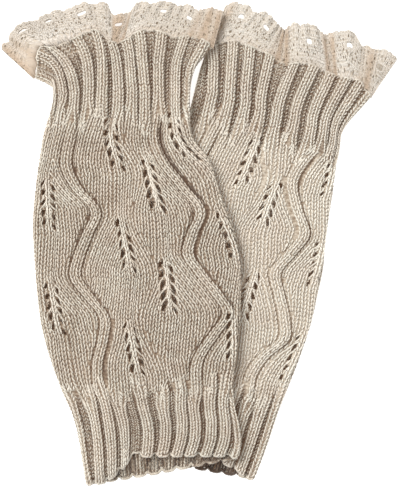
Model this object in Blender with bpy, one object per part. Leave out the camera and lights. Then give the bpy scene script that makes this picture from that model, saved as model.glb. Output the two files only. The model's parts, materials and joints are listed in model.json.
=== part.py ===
# A pair of knitted boot cuffs with ruffled lace tops, laid flat, the left cuff over the right one.
# Sizes are in millimetres until the meshes are made. X runs right, Y towards the lace, Z up.

from collections import namedtuple
from math import pi

import bmesh
import bpy
import numpy as np

MM = 0.001
CENTRE_X = -0.19          # middle of the laid pair in the layout below
CENTRE_Y = 0.3

KNIT_WALL = 2.3           # knitted cloth without its ribs
FOLD_RADIUS = 3.9         # outside radius of the folds at a flat tube's sides
RIB_RAISE = 2.0
BAND_RAISE = 1.5          # travelling ribs of the leaf panel
SPINE_RAISE = 0.8         # middle vein of each leaf
SEAM_GAP = 0.3
LACE_WALL = 1.3

RIBS_ON_FACE = 11
COLUMNS_ON_RIB = 4        # valley, shoulder, crown, shoulder
RIB_HEIGHTS = (0.0, 0.85, 1.0, 0.85)
RIB_HALF = 3.2            # from a rib's crown to its shoulder
SHOULDER_REACH = 0.75     # or this share of the way to the valley, where ribs crowd together
HEM_SCALLOP = 1.4

RIM_ROWS = 10
LEAF_ROWS = 20
HEM_ROWS = 6
BACK_COLUMNS = 22
FOLD_COLUMNS = (0.018, 0.040)   # more columns where the underside turns into a fold
LINING_ROW_STEP = 2       # the plain inside has every second row
LINING_COLUMNS = 22       # on each face

LEAF_FROM = 0.21          # where the top ribs end, as a share of the length from rim to hem
LEAF_TO = 0.80
TURN_LENGTH = 0.03        # over which the ribs turn into the leaf panel
LEAF_PERIOD = 0.231
PULL_FROM = 0.80          # the front hem is drawn up over the last fifth
REAR_BOW = 0.85

COVER_RISE = 2 * FOLD_RADIUS + RIB_RAISE + SEAM_GAP + 0.3
COVER_APPROACH = 22.0     # the left cuff climbs over this length before the right one's edge
COVER_OVER = 4.0

LACE_REPEATS = 8
LACE_COLUMNS = 6          # for one repeat
HOLE_LENGTH = 5.2
HOLE_HEIGHT = 4.3
HOLE_AT = 0.56            # from the rim to the lace's outer edge
LACE_SCALLOP = 1.3
RIM_GAP = 1.05            # between the rim and the lace's sewn edge
BACK_INSET = 1.5          # the back strip's edge lies this far inside the front one's
BACK_HEIGHT = 0.6         # its flutes against the front's
LACE_FRONT_Z = 4.6
FACE_GAP = 0.8            # between the strip's two faces where they draw together at a fold
FOLD_REACH = 0.12         # share of a strip's length over which they do so

# One row for each place where the outline turns: the ends of a course of knitting, and how far
# its middle bows towards the lace.
Section = namedtuple("Section", "left_x left_y right_x right_y bow")
LEFT_SECTIONS = (
    Section(-99.0, 99.6, 7.2, 116.4, 18.6),
    Section(-93.0, 97.0, 2.4, 111.0, 15.6),
    Section(-89.2, 94.6, -2.6, 105.0, 10.8),
    Section(-88.2, 90.6, -5.1, 97.8, 6.0),
    Section(-88.8, 84.6, -6.0, 88.2, 3.0),
    Section(-91.2, 75.6, -6.0, 75.6, 1.2),
    Section(-94.8, 63.6, -3.6, 62.4, 0.0),
    Section(-97.4, 47.4, 5.4, 50.4, 0.0),
    Section(-99.6, 29.4, 12.0, 31.2, 0.0),
    Section(-100.8, 9.6, 19.8, 10.2, 0.0),
    Section(-99.8, -10.8, 24.3, -7.8, 0.0),
    Section(-98.0, -31.2, 24.5, -26.4, 0.0),
    Section(-95.4, -50.4, 24.0, -45.6, 0.0),
    Section(-90.6, -68.4, 22.4, -62.4, 0.0),
    Section(-84.0, -86.4, 20.4, -78.0, 0.0),
    Section(-77.0, -102.0, 20.0, -93.6, 0.0),
    Section(-72.6, -118.0, 23.4, -108.6, 0.0),
    Section(-70.2, -132.0, 24.4, -119.0, 0.0),
    Section(-68.4, -144.9, 22.8, -127.2, 0.0),
)
RIGHT_SECTIONS = (
    Section(3.6, 115.2, 102.6, 88.2, 7.8),
    Section(1.8, 110.4, 97.6, 82.4, 7.2),
    Section(0.0, 105.0, 90.8, 75.0, 5.4),
    Section(-2.4, 96.0, 85.2, 66.6, 3.0),
    Section(-5.4, 84.0, 84.0, 57.6, 1.2),
    Section(-9.6, 69.6, 82.0, 46.8, 0.0),
    Section(-16.8, 52.8, 80.2, 32.4, 0.0),
    Section(-25.8, 36.0, 78.0, 18.0, 0.0),
    Section(-33.6, 19.2, 75.8, 2.4, 0.0),
    Section(-40.2, 1.2, 74.2, -14.4, 0.0),
    Section(-45.0, -16.8, 70.8, -31.2, 0.0),
    Section(-48.6, -34.8, 66.6, -49.2, 0.0),
    Section(-51.0, -52.8, 60.6, -67.2, 0.0),
    Section(-52.2, -70.8, 53.6, -85.2, 0.0),
    Section(-53.4, -86.4, 47.4, -99.6, 0.0),
    Section(-55.2, -99.6, 42.6, -114.0, 0.0),
    Section(-56.4, -112.8, 37.8, -127.8, 0.0),
    Section(-57.6, -125.4, 32.4, -141.6, 0.0),
)

# The front rim across a cuff: how far it rises over the straight line between its ends, as a
# share of the bow, and how high its flutes stand.
Rim = namedtuple("Rim", "across rise flute")
LEFT_RIM = (
    Rim(0.00, 0.00, 0.0), Rim(0.04, 0.80, 0.4), Rim(0.12, 0.87, 1.2), Rim(0.27, 1.06, 2.8),
    Rim(0.38, 1.18, 3.0), Rim(0.45, 0.78, 0.2), Rim(0.53, 0.74, 0.2), Rim(0.62, 0.95, 2.4),
    Rim(0.70, 0.90, 2.6), Rim(0.80, 0.62, 1.0), Rim(0.91, 0.48, 0.4), Rim(0.96, 0.30, 0.2),
    Rim(1.00, 0.00, 0.0),
)
RIGHT_RIM = (
    Rim(0.00, 0.00, 0.0), Rim(0.05, 0.80, 0.0), Rim(0.14, 1.35, 0.8), Rim(0.24, 1.25, 2.4),
    Rim(0.33, 1.16, 1.8), Rim(0.47, 0.75, 0.2), Rim(0.57, 1.14, 2.6), Rim(0.67, 1.08, 1.2),
    Rim(0.74, 0.92, 0.2), Rim(0.84, 0.88, 2.2), Rim(0.91, 0.95, 0.8), Rim(0.97, 0.32, 0.6),
    Rim(1.00, 0.00, 0.0),
)

# How far the front hem is drawn up from the rear one.
Pull = namedtuple("Pull", "across length")
LEFT_PULL = (
    Pull(0.00, 0.0), Pull(0.12, 0.0), Pull(0.22, 4.8), Pull(0.34, 13.2), Pull(0.48, 10.8),
    Pull(0.68, 7.5), Pull(0.90, 3.4), Pull(1.00, 0.0),
)
RIGHT_PULL = (
    Pull(0.00, 0.0), Pull(0.15, 3.0), Pull(0.60, 4.5), Pull(0.74, 7.8), Pull(0.88, 4.2),
    Pull(0.94, 0.0), Pull(1.00, 0.0),
)

# Crowns of the ribs across the cuff's face, at the rim, the neck and both ends of the hem.
Ribs = namedtuple("Ribs", "down crowns")
LEFT_RIBS = (
    Ribs(0.00, (0.010, 0.052, 0.124, 0.274, 0.385, 0.450, 0.535, 0.610, 0.730, 0.847, 0.950)),
    Ribs(0.13, (0.030, 0.095, 0.180, 0.277, 0.369, 0.482, 0.577, 0.664, 0.759, 0.876, 0.975)),
    Ribs(0.82, (0.040, 0.163, 0.245, 0.320, 0.455, 0.573, 0.685, 0.756, 0.851, 0.933, 0.988)),
    Ribs(1.00, (0.030, 0.117, 0.198, 0.290, 0.432, 0.525, 0.611, 0.691, 0.784, 0.864, 0.965)),
)
RIGHT_RIBS = (
    Ribs(0.00, (0.030, 0.115, 0.210, 0.305, 0.400, 0.505, 0.610, 0.710, 0.805, 0.895, 0.970)),
    Ribs(0.13, (0.030, 0.120, 0.220, 0.320, 0.416, 0.524, 0.639, 0.753, 0.843, 0.920, 0.980)),
    Ribs(0.82, (0.045, 0.150, 0.250, 0.345, 0.435, 0.525, 0.615, 0.705, 0.795, 0.880, 0.965)),
    Ribs(1.00, (0.045, 0.150, 0.250, 0.345, 0.435, 0.525, 0.615, 0.705, 0.795, 0.880, 0.965)),
)

# Middles of the two travelling ribs, across the cuff's face.
Bands = namedtuple("Bands", "down left right")
LEFT_BANDS = (
    Bands(0.17, 0.235, 0.760), Bands(0.24, 0.199, 0.730), Bands(0.30, 0.183, 0.725),
    Bands(0.35, 0.240, 0.790), Bands(0.405, 0.330, 0.848), Bands(0.46, 0.280, 0.780),
    Bands(0.51, 0.228, 0.743), Bands(0.55, 0.207, 0.790), Bands(0.60, 0.270, 0.868),
    Bands(0.645, 0.333, 0.920), Bands(0.69, 0.315, 0.860), Bands(0.75, 0.258, 0.780),
    Bands(0.81, 0.230, 0.770),
)
RIGHT_BANDS = (
    Bands(0.17, 0.220, 0.850), Bands(0.22, 0.190, 0.780), Bands(0.28, 0.180, 0.736),
    Bands(0.34, 0.230, 0.790), Bands(0.41, 0.320, 0.862), Bands(0.46, 0.280, 0.806),
    Bands(0.51, 0.220, 0.750), Bands(0.56, 0.210, 0.790), Bands(0.62, 0.270, 0.845),
    Bands(0.67, 0.330, 0.866), Bands(0.71, 0.300, 0.800), Bands(0.76, 0.250, 0.762),
    Bands(0.81, 0.230, 0.780),
)
LEFT_BAND_COLUMN = 10
RIGHT_BAND_COLUMN = 34

# Leaf columns: their place across the face, the mesh column that follows it, and how far down
# the first leaf's middle lies.
Leaf = namedtuple("Leaf", "across column first")
LEAVES = (
    Leaf(0.095, 4, 0.390), Leaf(0.460, 20, 0.255), Leaf(0.640, 28, 0.350), Leaf(0.955, 42, 0.240),
)

# The lace's outer edge across a cuff, on the front, and how high it stands.
LaceEdge = namedtuple("LaceEdge", "across x y height")
LEFT_LACE = (
    LaceEdge(0.00, -119.6, 117.2, 0.0), LaceEdge(0.05, -114.8, 125.4, 1.0),
    LaceEdge(0.11, -107.2, 132.2, 3.0), LaceEdge(0.18, -97.2, 136.2, 4.0),
    LaceEdge(0.27, -84.0, 139.8, 4.5), LaceEdge(0.36, -69.0, 143.2, 4.5),
    LaceEdge(0.42, -59.4, 142.6, 3.2), LaceEdge(0.455, -54.6, 137.8, 0.2),
    LaceEdge(0.49, -46.8, 137.0, 0.0), LaceEdge(0.54, -38.4, 143.4, 2.5),
    LaceEdge(0.62, -29.0, 144.4, 4.6), LaceEdge(0.70, -19.8, 144.8, 4.4),
    LaceEdge(0.80, -9.6, 141.6, 2.2), LaceEdge(0.91, 3.0, 139.4, 0.8),
    LaceEdge(1.00, 13.8, 138.2, 0.4),
)
RIGHT_LACE = (
    LaceEdge(0.00, 15.0, 138.6, 0.0), LaceEdge(0.06, 18.6, 144.4, 1.0),
    LaceEdge(0.14, 25.8, 143.8, 2.6), LaceEdge(0.24, 34.8, 138.6, 4.2),
    LaceEdge(0.34, 42.6, 132.6, 2.6), LaceEdge(0.46, 50.6, 127.6, 0.2),
    LaceEdge(0.54, 57.0, 130.8, 3.6), LaceEdge(0.61, 66.0, 129.4, 4.4),
    LaceEdge(0.68, 72.6, 125.6, 1.6), LaceEdge(0.74, 79.2, 125.2, 0.4),
    LaceEdge(0.81, 89.4, 124.4, 3.8), LaceEdge(0.87, 94.8, 118.2, 3.0),
    LaceEdge(0.93, 103.2, 115.8, 1.2), LaceEdge(0.97, 110.4, 115.4, 2.0),
    LaceEdge(1.00, 118.8, 111.4, 1.4),
)


def ease(value, low, high):
    """0 below low, 1 above high, smooth between."""
    t = np.clip((value - low) / (high - low), 0.0, 1.0)
    return t * t * (3 - 2 * t)


def curve(knots, values, at):
    """The smooth curve through the knots, read at each place in `at`."""
    knots = np.asarray(knots, float)
    values = np.asarray(values, float)
    slopes = np.gradient(values, knots)
    at = np.clip(at, knots[0], knots[-1])
    i = np.clip(np.searchsorted(knots, at) - 1, 0, len(knots) - 2)
    step = knots[i + 1] - knots[i]
    t = (at - knots[i]) / step
    start = (1 + 2 * t) * (1 - t) ** 2 * values[i] + t * (1 - t) ** 2 * step * slopes[i]
    end = t * t * (3 - 2 * t) * values[i + 1] + t * t * (t - 1) * step * slopes[i + 1]
    return start + end


def column(rows, name):
    return np.array([getattr(row, name) for row in rows], float)


def cover(x, y):
    """How high the left cuff is held where the right one lies under it."""
    edge_x = column(RIGHT_SECTIONS, "left_x")
    edge_y = column(RIGHT_SECTIONS, "left_y")
    lace = RIGHT_LACE[0]
    edge = np.interp(y, np.append(edge_y[::-1], lace.y), np.append(edge_x[::-1], lace.x))
    hem = RIGHT_SECTIONS[-1]
    hem_slope = (hem.right_y - hem.left_y) / (hem.right_x - hem.left_x)
    hem_line = hem.left_y + (x - hem.left_x) * hem_slope
    past_side = ease(x - edge, -COVER_APPROACH, COVER_OVER)
    past_hem = ease(y - hem_line, -COVER_APPROACH - COVER_OVER, -COVER_OVER)
    return COVER_RISE * past_side * past_hem


def flat_tube(width, share):
    """Place across, height and outward normal at a share of a flat tube's girth.

    The share runs from the left fold over the top to the right fold at one half, then back below.
    """
    half = width - 2 * FOLD_RADIUS + pi * FOLD_RADIUS
    upper = share <= 0.5
    run = np.where(upper, share, 1 - share) * 2 * half
    on_left = run < half / 2
    turn = np.clip(np.where(on_left, run, half - run) / FOLD_RADIUS, 0, pi / 2)
    side = np.where(on_left, -1.0, 1.0)
    flat = np.clip(run - pi / 2 * FOLD_RADIUS, 0, width - 2 * FOLD_RADIUS)
    normal_s = side * np.cos(turn)
    normal_z = np.where(upper, 1, -1) * np.sin(turn)
    s = FOLD_RADIUS + flat + FOLD_RADIUS * normal_s
    z = FOLD_RADIUS + FOLD_RADIUS * normal_z
    return s, z, normal_s, normal_z


class Cuff:
    """One cuff's measured shape, from the rim (down = 0) to the rear hem (down = 1)."""

    def __init__(self, sections, rim, pull, ribs, bands, lace, lies_on_top):
        self.sections = sections
        self.rim = rim
        self.pull = pull
        self.ribs = ribs
        self.bands = bands
        self.lace = lace
        self.lies_on_top = lies_on_top
        middle_x = (column(sections, "left_x") + column(sections, "right_x")) / 2
        middle_y = (column(sections, "left_y") + column(sections, "right_y")) / 2
        middle_y = middle_y + column(sections, "bow")
        steps = np.hypot(np.diff(middle_x), np.diff(middle_y))
        self.length = steps.sum()
        self.stations = np.append(0.0, np.cumsum(steps)) / self.length

    def course(self, name, down):
        return curve(self.stations, column(self.sections, name), down)

    def width(self, down):
        return np.hypot(self.course("right_x", down) - self.course("left_x", down),
                        self.course("right_y", down) - self.course("left_y", down))

    def leaf_panel(self, down):
        """1 in the leaf panel, 0 in the ribs at both ends."""
        begins = ease(down, LEAF_FROM - TURN_LENGTH, LEAF_FROM + TURN_LENGTH)
        return begins * (1 - ease(down, LEAF_TO - TURN_LENGTH, LEAF_TO + TURN_LENGTH))

    def place(self, down, share, out):
        """World point at a share of the girth, `out` from the tube's plain outer surface."""
        left_x, left_y = self.course("left_x", down), self.course("left_y", down)
        run_x, run_y = self.course("right_x", down) - left_x, self.course("right_y", down) - left_y
        width = np.hypot(run_x, run_y)
        along_x, along_y = run_x / width, run_y / width
        s, z, normal_s, normal_z = flat_tube(width, share)
        across = s / width
        on_front = share <= 0.5
        bow = self.course("bow", down)
        rise = bow * curve(column(self.rim, "across"), column(self.rim, "rise"), across)
        rise = rise * np.where(on_front, 1.0, REAR_BOW)
        drawn = np.interp(across, column(self.pull, "across"), column(self.pull, "length"))
        rise = rise + np.where(on_front, drawn, 0.0) * ease(down, PULL_FROM, 1.0)
        flute = curve(column(self.rim, "across"), column(self.rim, "flute"), across)
        flute = np.maximum(flute * bow / self.sections[0].bow, 0.0)
        s = s + normal_s * out
        x = left_x + along_x * s - along_y * rise
        y = left_y + along_y * s + along_x * rise
        z = z + normal_z * out + flute
        if self.lies_on_top:
            z = z + cover(x, y)
        return x, y, z


def front_columns(cuff, down):
    """Place across of each mesh column on the front, for each row."""
    count = RIBS_ON_FACE * COLUMNS_ON_RIB
    index = np.arange(count + 1)
    crowns = np.stack([np.interp(down, column(cuff.ribs, "down"), place)
                       for place in zip(*(row.crowns for row in cuff.ribs))], axis=1)
    valleys = np.pad((crowns[:, 1:] + crowns[:, :-1]) / 2, ((0, 0), (1, 1)))
    valleys[:, -1] = 1.0
    half = RIB_HALF / cuff.width(down)[:, None]
    ribbed = np.empty((len(down), count + 1))
    ribbed[:, ::COLUMNS_ON_RIB] = valleys
    ribbed[:, 1::COLUMNS_ON_RIB] = crowns - np.minimum(
        half, SHOULDER_REACH * (crowns - valleys[:, :-1]))
    ribbed[:, 2::COLUMNS_ON_RIB] = crowns
    ribbed[:, 3::COLUMNS_ON_RIB] = crowns + np.minimum(
        half, SHOULDER_REACH * (valleys[:, 1:] - crowns))
    first, second, third, fourth = LEAVES
    guides = [0, first.column, LEFT_BAND_COLUMN, second.column,
              third.column, RIGHT_BAND_COLUMN, fourth.column, count]
    band_down = column(cuff.bands, "down")
    left_band = curve(band_down, column(cuff.bands, "left"), down)
    right_band = curve(band_down, column(cuff.bands, "right"), down)
    leafy = np.empty_like(ribbed)
    for row in range(len(down)):
        places = [0, first.across, left_band[row], second.across,
                  third.across, right_band[row], fourth.across, 1]
        leafy[row] = np.interp(index, guides, places)
    panel = cuff.leaf_panel(down)[:, None]
    return ribbed * (1 - panel) + leafy * panel


def front_relief(cuff, down):
    """How far each front column is raised: ribs, travelling ribs and leaf veins."""
    count = RIBS_ON_FACE * COLUMNS_ON_RIB
    index = np.arange(count + 1)
    panel = cuff.leaf_panel(down)[:, None]
    ribs = RIB_RAISE * np.take(RIB_HEIGHTS, index % COLUMNS_ON_RIB)[None, :]
    leafy = np.zeros((len(down), count + 1))
    for middle in (LEFT_BAND_COLUMN, RIGHT_BAND_COLUMN):
        leafy[:, middle - 1:middle + 2] = BAND_RAISE
    for leaf in LEAVES:
        swell = 0.5 + 0.5 * np.cos(2 * pi * (down - leaf.first) / LEAF_PERIOD)
        leafy[:, leaf.column] = SPINE_RAISE * swell
    return ribs * (1 - panel) + leafy * panel


def tube_rows():
    rim = np.linspace(0, LEAF_FROM, RIM_ROWS, endpoint=False)
    leaf = np.linspace(LEAF_FROM, LEAF_TO, LEAF_ROWS, endpoint=False)
    hem = np.linspace(LEAF_TO, 1, HEM_ROWS + 1)
    return np.concatenate([rim, leaf, hem])


def back_columns():
    """Place across of each mesh column on the underside, from the left fold to the right one."""
    even = np.arange(2, BACK_COLUMNS - 1) / BACK_COLUMNS
    near = np.array(FOLD_COLUMNS)
    return np.concatenate([[0.0], near, even, 1 - near[::-1], [1.0]])


def outer_wall(cuff, down):
    """Rows of outer points, the ribbed front and then the plain underside, and their shares."""
    front = front_columns(cuff, down)
    back = np.broadcast_to(back_columns()[-2:0:-1], (len(down), len(back_columns()) - 2))
    share = np.concatenate([front / 2, 1 - back / 2], axis=1)
    facing_up = flat_tube(cuff.width(down)[:, None], share)[3]
    relief = np.zeros(share.shape)
    relief[:, :front.shape[1]] = front_relief(cuff, down)
    relief = relief * ease(facing_up, 0.2, 1.0)
    rows = np.broadcast_to(down[:, None], share.shape).copy()
    scallop = np.zeros(share.shape[1])
    scallop[:front.shape[1]] = np.take(RIB_HEIGHTS, np.arange(front.shape[1]) % COLUMNS_ON_RIB)
    scallop[front.shape[1]:] = np.arange(back.shape[1]) % 2
    rows[-1] = 1 + scallop * HEM_SCALLOP / cuff.length
    return np.stack(cuff.place(rows, share, relief), axis=-1), share


def inner_wall(cuff, down):
    """Rows of points on the plain inside, and their girth shares."""
    share = np.arange(2 * LINING_COLUMNS) / (2 * LINING_COLUMNS)
    rows = down[:, None] + np.zeros(len(share))
    shares = share[None, :] + np.zeros((len(down), 1))
    return np.stack(cuff.place(rows, shares, np.full(rows.shape, -KNIT_WALL)), axis=-1), shares


def add_rows(mesh, points):
    return [[mesh.verts.new((p - (CENTRE_X, CENTRE_Y, 0)) * MM) for p in row] for row in points]


def skin_rows(mesh, rows, outward):
    """Quads between closed rings of points."""
    count = len(rows[0])
    for above, below in zip(rows, rows[1:]):
        for i in range(count):
            j = (i + 1) % count
            corners = (above[i], above[j], below[j], below[i])
            mesh.faces.new(corners if outward else corners[::-1])


def close_rim(mesh, outer, outer_share, inner, inner_share, outward):
    """Triangles between two rings that both start at the left fold, led by their girth shares."""
    outer_share = np.append(outer_share, 1.0)
    inner_share = np.append(inner_share, 1.0)
    i = j = 0
    while i < len(outer) or j < len(inner):
        if j == len(inner) or (i < len(outer) and outer_share[i + 1] <= inner_share[j + 1]):
            corners = (outer[i], outer[(i + 1) % len(outer)], inner[j % len(inner)])
            i += 1
        else:
            corners = (inner[(j + 1) % len(inner)], inner[j], outer[i % len(outer)])
            j += 1
        mesh.faces.new(corners if outward else corners[::-1])


def finish(mesh, name, material):
    bmesh.ops.recalc_face_normals(mesh, faces=mesh.faces)
    bmesh.ops.triangulate(mesh, faces=mesh.faces, quad_method="SHORT_EDGE")
    data = bpy.data.meshes.new(name)
    mesh.to_mesh(data)
    mesh.free()
    data.materials.append(material)
    data.shade_smooth()
    piece = bpy.data.objects.new(name, data)
    bpy.context.scene.collection.objects.link(piece)
    return piece


def knit_tube(cuff, name, material):
    down = tube_rows()
    mesh = bmesh.new()
    outer_points, outer_share = outer_wall(cuff, down)
    inner_points, inner_share = inner_wall(cuff, np.append(down[:-1:LINING_ROW_STEP], down[-1]))
    outer = add_rows(mesh, outer_points)
    inner = add_rows(mesh, inner_points)
    skin_rows(mesh, outer, True)
    skin_rows(mesh, inner, False)
    for end, outward in ((0, False), (-1, True)):
        close_rim(mesh, outer[end], outer_share[end], inner[end], inner_share[end], outward)
    return finish(mesh, name, material)


def rim_line(cuff, front):
    """The rim's corners on the front or the back, as straight runs between the tube's own points."""
    zero = np.zeros(1)
    share = front_columns(cuff, zero)[0] if front else back_columns()
    girth = share / 2 if front else 1 - share / 2
    points = cuff.place(np.zeros(len(share)), girth, np.full(len(share), -KNIT_WALL / 2))
    return share, np.stack(points, axis=-1)


def lace_points(cuff, front):
    """The strip's edge along the rim and its outer edge, at the middle of its thickness."""
    along = np.linspace(0, 1, LACE_REPEATS * LACE_COLUMNS + 1)
    share, rim = rim_line(cuff, front)
    start = np.stack([np.interp(along, share, rim[:, axis]) for axis in range(3)], axis=-1)
    runs = np.gradient(start[:, :2], axis=0)
    runs /= np.linalg.norm(runs, axis=1, keepdims=True)
    at_fold = 1 - ease(np.minimum(along, 1 - along), 0.0, FOLD_REACH)
    gap = RIM_GAP + (KNIT_WALL / 2 + 2 * SEAM_GAP) * at_fold
    start[:, 0] -= runs[:, 1] * gap
    start[:, 1] += runs[:, 0] * gap
    knots = column(cuff.lace, "across")
    edge = np.stack([curve(knots, column(cuff.lace, name), along) for name in LaceEdge._fields[1:]],
                    axis=-1)
    heading = edge[:, :2] - start[:, :2]
    heading /= np.linalg.norm(heading, axis=1, keepdims=True)
    scallop = LACE_SCALLOP * (np.abs(np.sin(pi * along * LACE_REPEATS)) - 0.5)
    outer = edge[:, :2] + heading * (scallop[:, None] - (0.0 if front else BACK_INSET))
    lift = cover(outer[:, 0], outer[:, 1]) if cuff.lies_on_top else 0.0
    rim_lift = cover(start[:, 0], start[:, 1]) if cuff.lies_on_top else 0.0
    height = np.maximum(edge[:, 2], 0.0)
    back_z = LACE_WALL / 2 + lift + height * BACK_HEIGHT
    parted = LACE_WALL + FACE_GAP
    if front:
        start[:, 2] = np.maximum(start[:, 2], FOLD_RADIUS + rim_lift + parted / 2)
        front_z = lift + height + LACE_FRONT_Z
        outer_z = front_z * (1 - at_fold) + (back_z + parted) * at_fold
    else:
        lowered = np.minimum(start[:, 2], FOLD_RADIUS + rim_lift - parted / 2)
        start[:, 2] += (lowered - start[:, 2]) * at_fold
        outer_z = back_z
    return start, np.column_stack([outer, outer_z])


def lace_strip(cuff, name, front, material):
    start, outer = lace_points(cuff, front)
    length = np.linalg.norm(outer - start, axis=1)
    half_hole = HOLE_HEIGHT / 2 / length.mean()
    levels = (0.0, HOLE_AT - half_hole, HOLE_AT, HOLE_AT + half_hole, 1.0)
    grid = np.stack([start * (1 - level) + outer * level for level in levels])
    skipped = open_holes(grid)
    mesh = bmesh.new()
    top = add_rows(mesh, grid + (0, 0, LACE_WALL / 2))
    bottom = add_rows(mesh, grid - (0, 0, LACE_WALL / 2))
    faces = []
    for row in range(len(levels) - 1):
        for i in range(len(start) - 1):
            if (row, i) in skipped:
                continue
            cell = ((row, i), (row, i + 1), (row + 1, i + 1), (row + 1, i))
            faces.append(cell)
    sides = {}
    for cell in faces:
        mesh.faces.new([top[r][c] for r, c in cell])
        mesh.faces.new([bottom[r][c] for r, c in reversed(cell)])
        for a, b in zip(cell, cell[1:] + cell[:1]):
            sides[(a, b)] = True
    for a, b in sides:
        if (b, a) not in sides:
            mesh.faces.new([bottom[a[0]][a[1]], bottom[b[0]][b[1]], top[b[0]][b[1]], top[a[0]][a[1]]])
    loose = [vert for vert in mesh.verts if not vert.link_faces]
    bmesh.ops.delete(mesh, geom=loose, context="VERTS")
    return finish(mesh, name, material)


def open_holes(grid):
    """Rounds the points about each repeat's hole and returns the cells that it leaves open."""
    skipped = set()
    middle = LACE_COLUMNS // 2
    for repeat in range(LACE_REPEATS):
        i = repeat * LACE_COLUMNS + middle
        centre = grid[2, i].copy()
        step = grid[2, i + 1] - grid[2, i - 1]
        beside = step / np.linalg.norm(step) * HOLE_LENGTH / 2
        grid[2, i - 1] = centre - beside
        grid[2, i + 1] = centre + beside
        for row in (1, 3):
            for side in (-1, 1):
                corner = grid[row, i] + side * beside
                grid[row, i + side] = corner * 0.72 + centre * 0.28
        skipped |= {(1, i - 1), (1, i), (2, i - 1), (2, i)}
    return skipped


def coloured(name, colour, roughness):
    material = bpy.data.materials.new(name)
    material.use_nodes = True
    shader = material.node_tree.nodes["Principled BSDF"]
    shader.inputs["Base Color"].default_value = (*colour, 1)
    shader.inputs["Roughness"].default_value = roughness
    shader.inputs["Metallic"].default_value = 0.0
    return material


def clear_scene():
    for piece in list(bpy.data.objects):
        bpy.data.objects.remove(piece, do_unlink=True)


def main():
    clear_scene()
    wool = coloured("oatmeal_knit", (0.61, 0.53, 0.43), 0.9)
    cotton = coloured("cream_lace", (0.87, 0.80, 0.67), 0.85)
    left = Cuff(LEFT_SECTIONS, LEFT_RIM, LEFT_PULL, LEFT_RIBS, LEFT_BANDS, LEFT_LACE, True)
    right = Cuff(RIGHT_SECTIONS, RIGHT_RIM, RIGHT_PULL, RIGHT_RIBS, RIGHT_BANDS, RIGHT_LACE, False)
    for side, cuff in (("left", left), ("right", right)):
        knit_tube(cuff, side + "_knit_tube", wool)
        lace_strip(cuff, side + "_lace_front", True, cotton)
        lace_strip(cuff, side + "_lace_back", False, cotton)


main()
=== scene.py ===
import json
from math import pi

import bpy
import numpy as np
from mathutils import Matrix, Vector

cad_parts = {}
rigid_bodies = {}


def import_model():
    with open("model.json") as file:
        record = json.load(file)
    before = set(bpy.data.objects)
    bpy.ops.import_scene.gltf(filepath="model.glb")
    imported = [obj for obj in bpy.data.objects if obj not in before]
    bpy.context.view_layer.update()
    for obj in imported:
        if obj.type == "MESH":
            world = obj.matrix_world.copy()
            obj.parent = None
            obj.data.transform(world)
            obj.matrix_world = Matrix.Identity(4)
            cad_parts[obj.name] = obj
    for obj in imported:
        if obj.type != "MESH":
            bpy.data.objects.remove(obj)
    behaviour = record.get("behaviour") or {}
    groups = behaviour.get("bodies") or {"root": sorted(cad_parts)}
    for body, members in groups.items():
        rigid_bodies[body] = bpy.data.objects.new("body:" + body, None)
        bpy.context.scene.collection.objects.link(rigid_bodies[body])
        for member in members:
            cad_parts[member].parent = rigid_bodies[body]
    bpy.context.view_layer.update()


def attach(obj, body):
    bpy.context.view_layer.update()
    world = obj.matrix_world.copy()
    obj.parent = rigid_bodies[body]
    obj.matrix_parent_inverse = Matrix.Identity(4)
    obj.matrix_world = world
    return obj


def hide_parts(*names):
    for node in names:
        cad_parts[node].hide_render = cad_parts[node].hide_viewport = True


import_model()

# A pair of knitted boot cuffs laid flat, the left one over the right one, with ruffled lace tops.
# The layout is in millimetres: x right, y towards the lace, z up. "down" runs from rim to hem.

mm = 0.001
layout = {
    "centreX": -0.19, "centreY": 0.3,
    "knitWall": 2.3, "foldRadius": 3.9, "ribRaise": 2.0, "seamGap": 0.3, "laceWall": 1.3,
    "leafFrom": 0.21, "leafTo": 0.80, "turnLength": 0.03,
    "leafPeriod": 0.231, "pullFrom": 0.80, "rearBow": 0.85,
    "coverApproach": 22.0, "coverOver": 4.0,
    "rimGap": 1.05, "backInset": 1.5, "backHeight": 0.6, "laceFrontZ": 4.6,
    "faceGap": 0.8, "foldReach": 0.12,
}
coverRise = 2 * layout["foldRadius"] + layout["ribRaise"] + layout["seamGap"] + 0.3

# Ends of a course, (left x, left y, right x, right y, how far its middle bows to the lace).
leftSections = (
    (-99.0, 99.6, 7.2, 116.4, 18.6), (-93.0, 97.0, 2.4, 111.0, 15.6), (-89.2, 94.6, -2.6, 105.0, 10.8),
    (-88.2, 90.6, -5.1, 97.8, 6.0), (-88.8, 84.6, -6.0, 88.2, 3.0), (-91.2, 75.6, -6.0, 75.6, 1.2),
    (-94.8, 63.6, -3.6, 62.4, 0), (-97.4, 47.4, 5.4, 50.4, 0), (-99.6, 29.4, 12.0, 31.2, 0),
    (-100.8, 9.6, 19.8, 10.2, 0), (-99.8, -10.8, 24.3, -7.8, 0), (-98.0, -31.2, 24.5, -26.4, 0),
    (-95.4, -50.4, 24.0, -45.6, 0), (-90.6, -68.4, 22.4, -62.4, 0), (-84.0, -86.4, 20.4, -78.0, 0),
    (-77.0, -102.0, 20.0, -93.6, 0), (-72.6, -118.0, 23.4, -108.6, 0), (-70.2, -132.0, 24.4, -119.0, 0),
    (-68.4, -144.9, 22.8, -127.2, 0),
)
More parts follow.
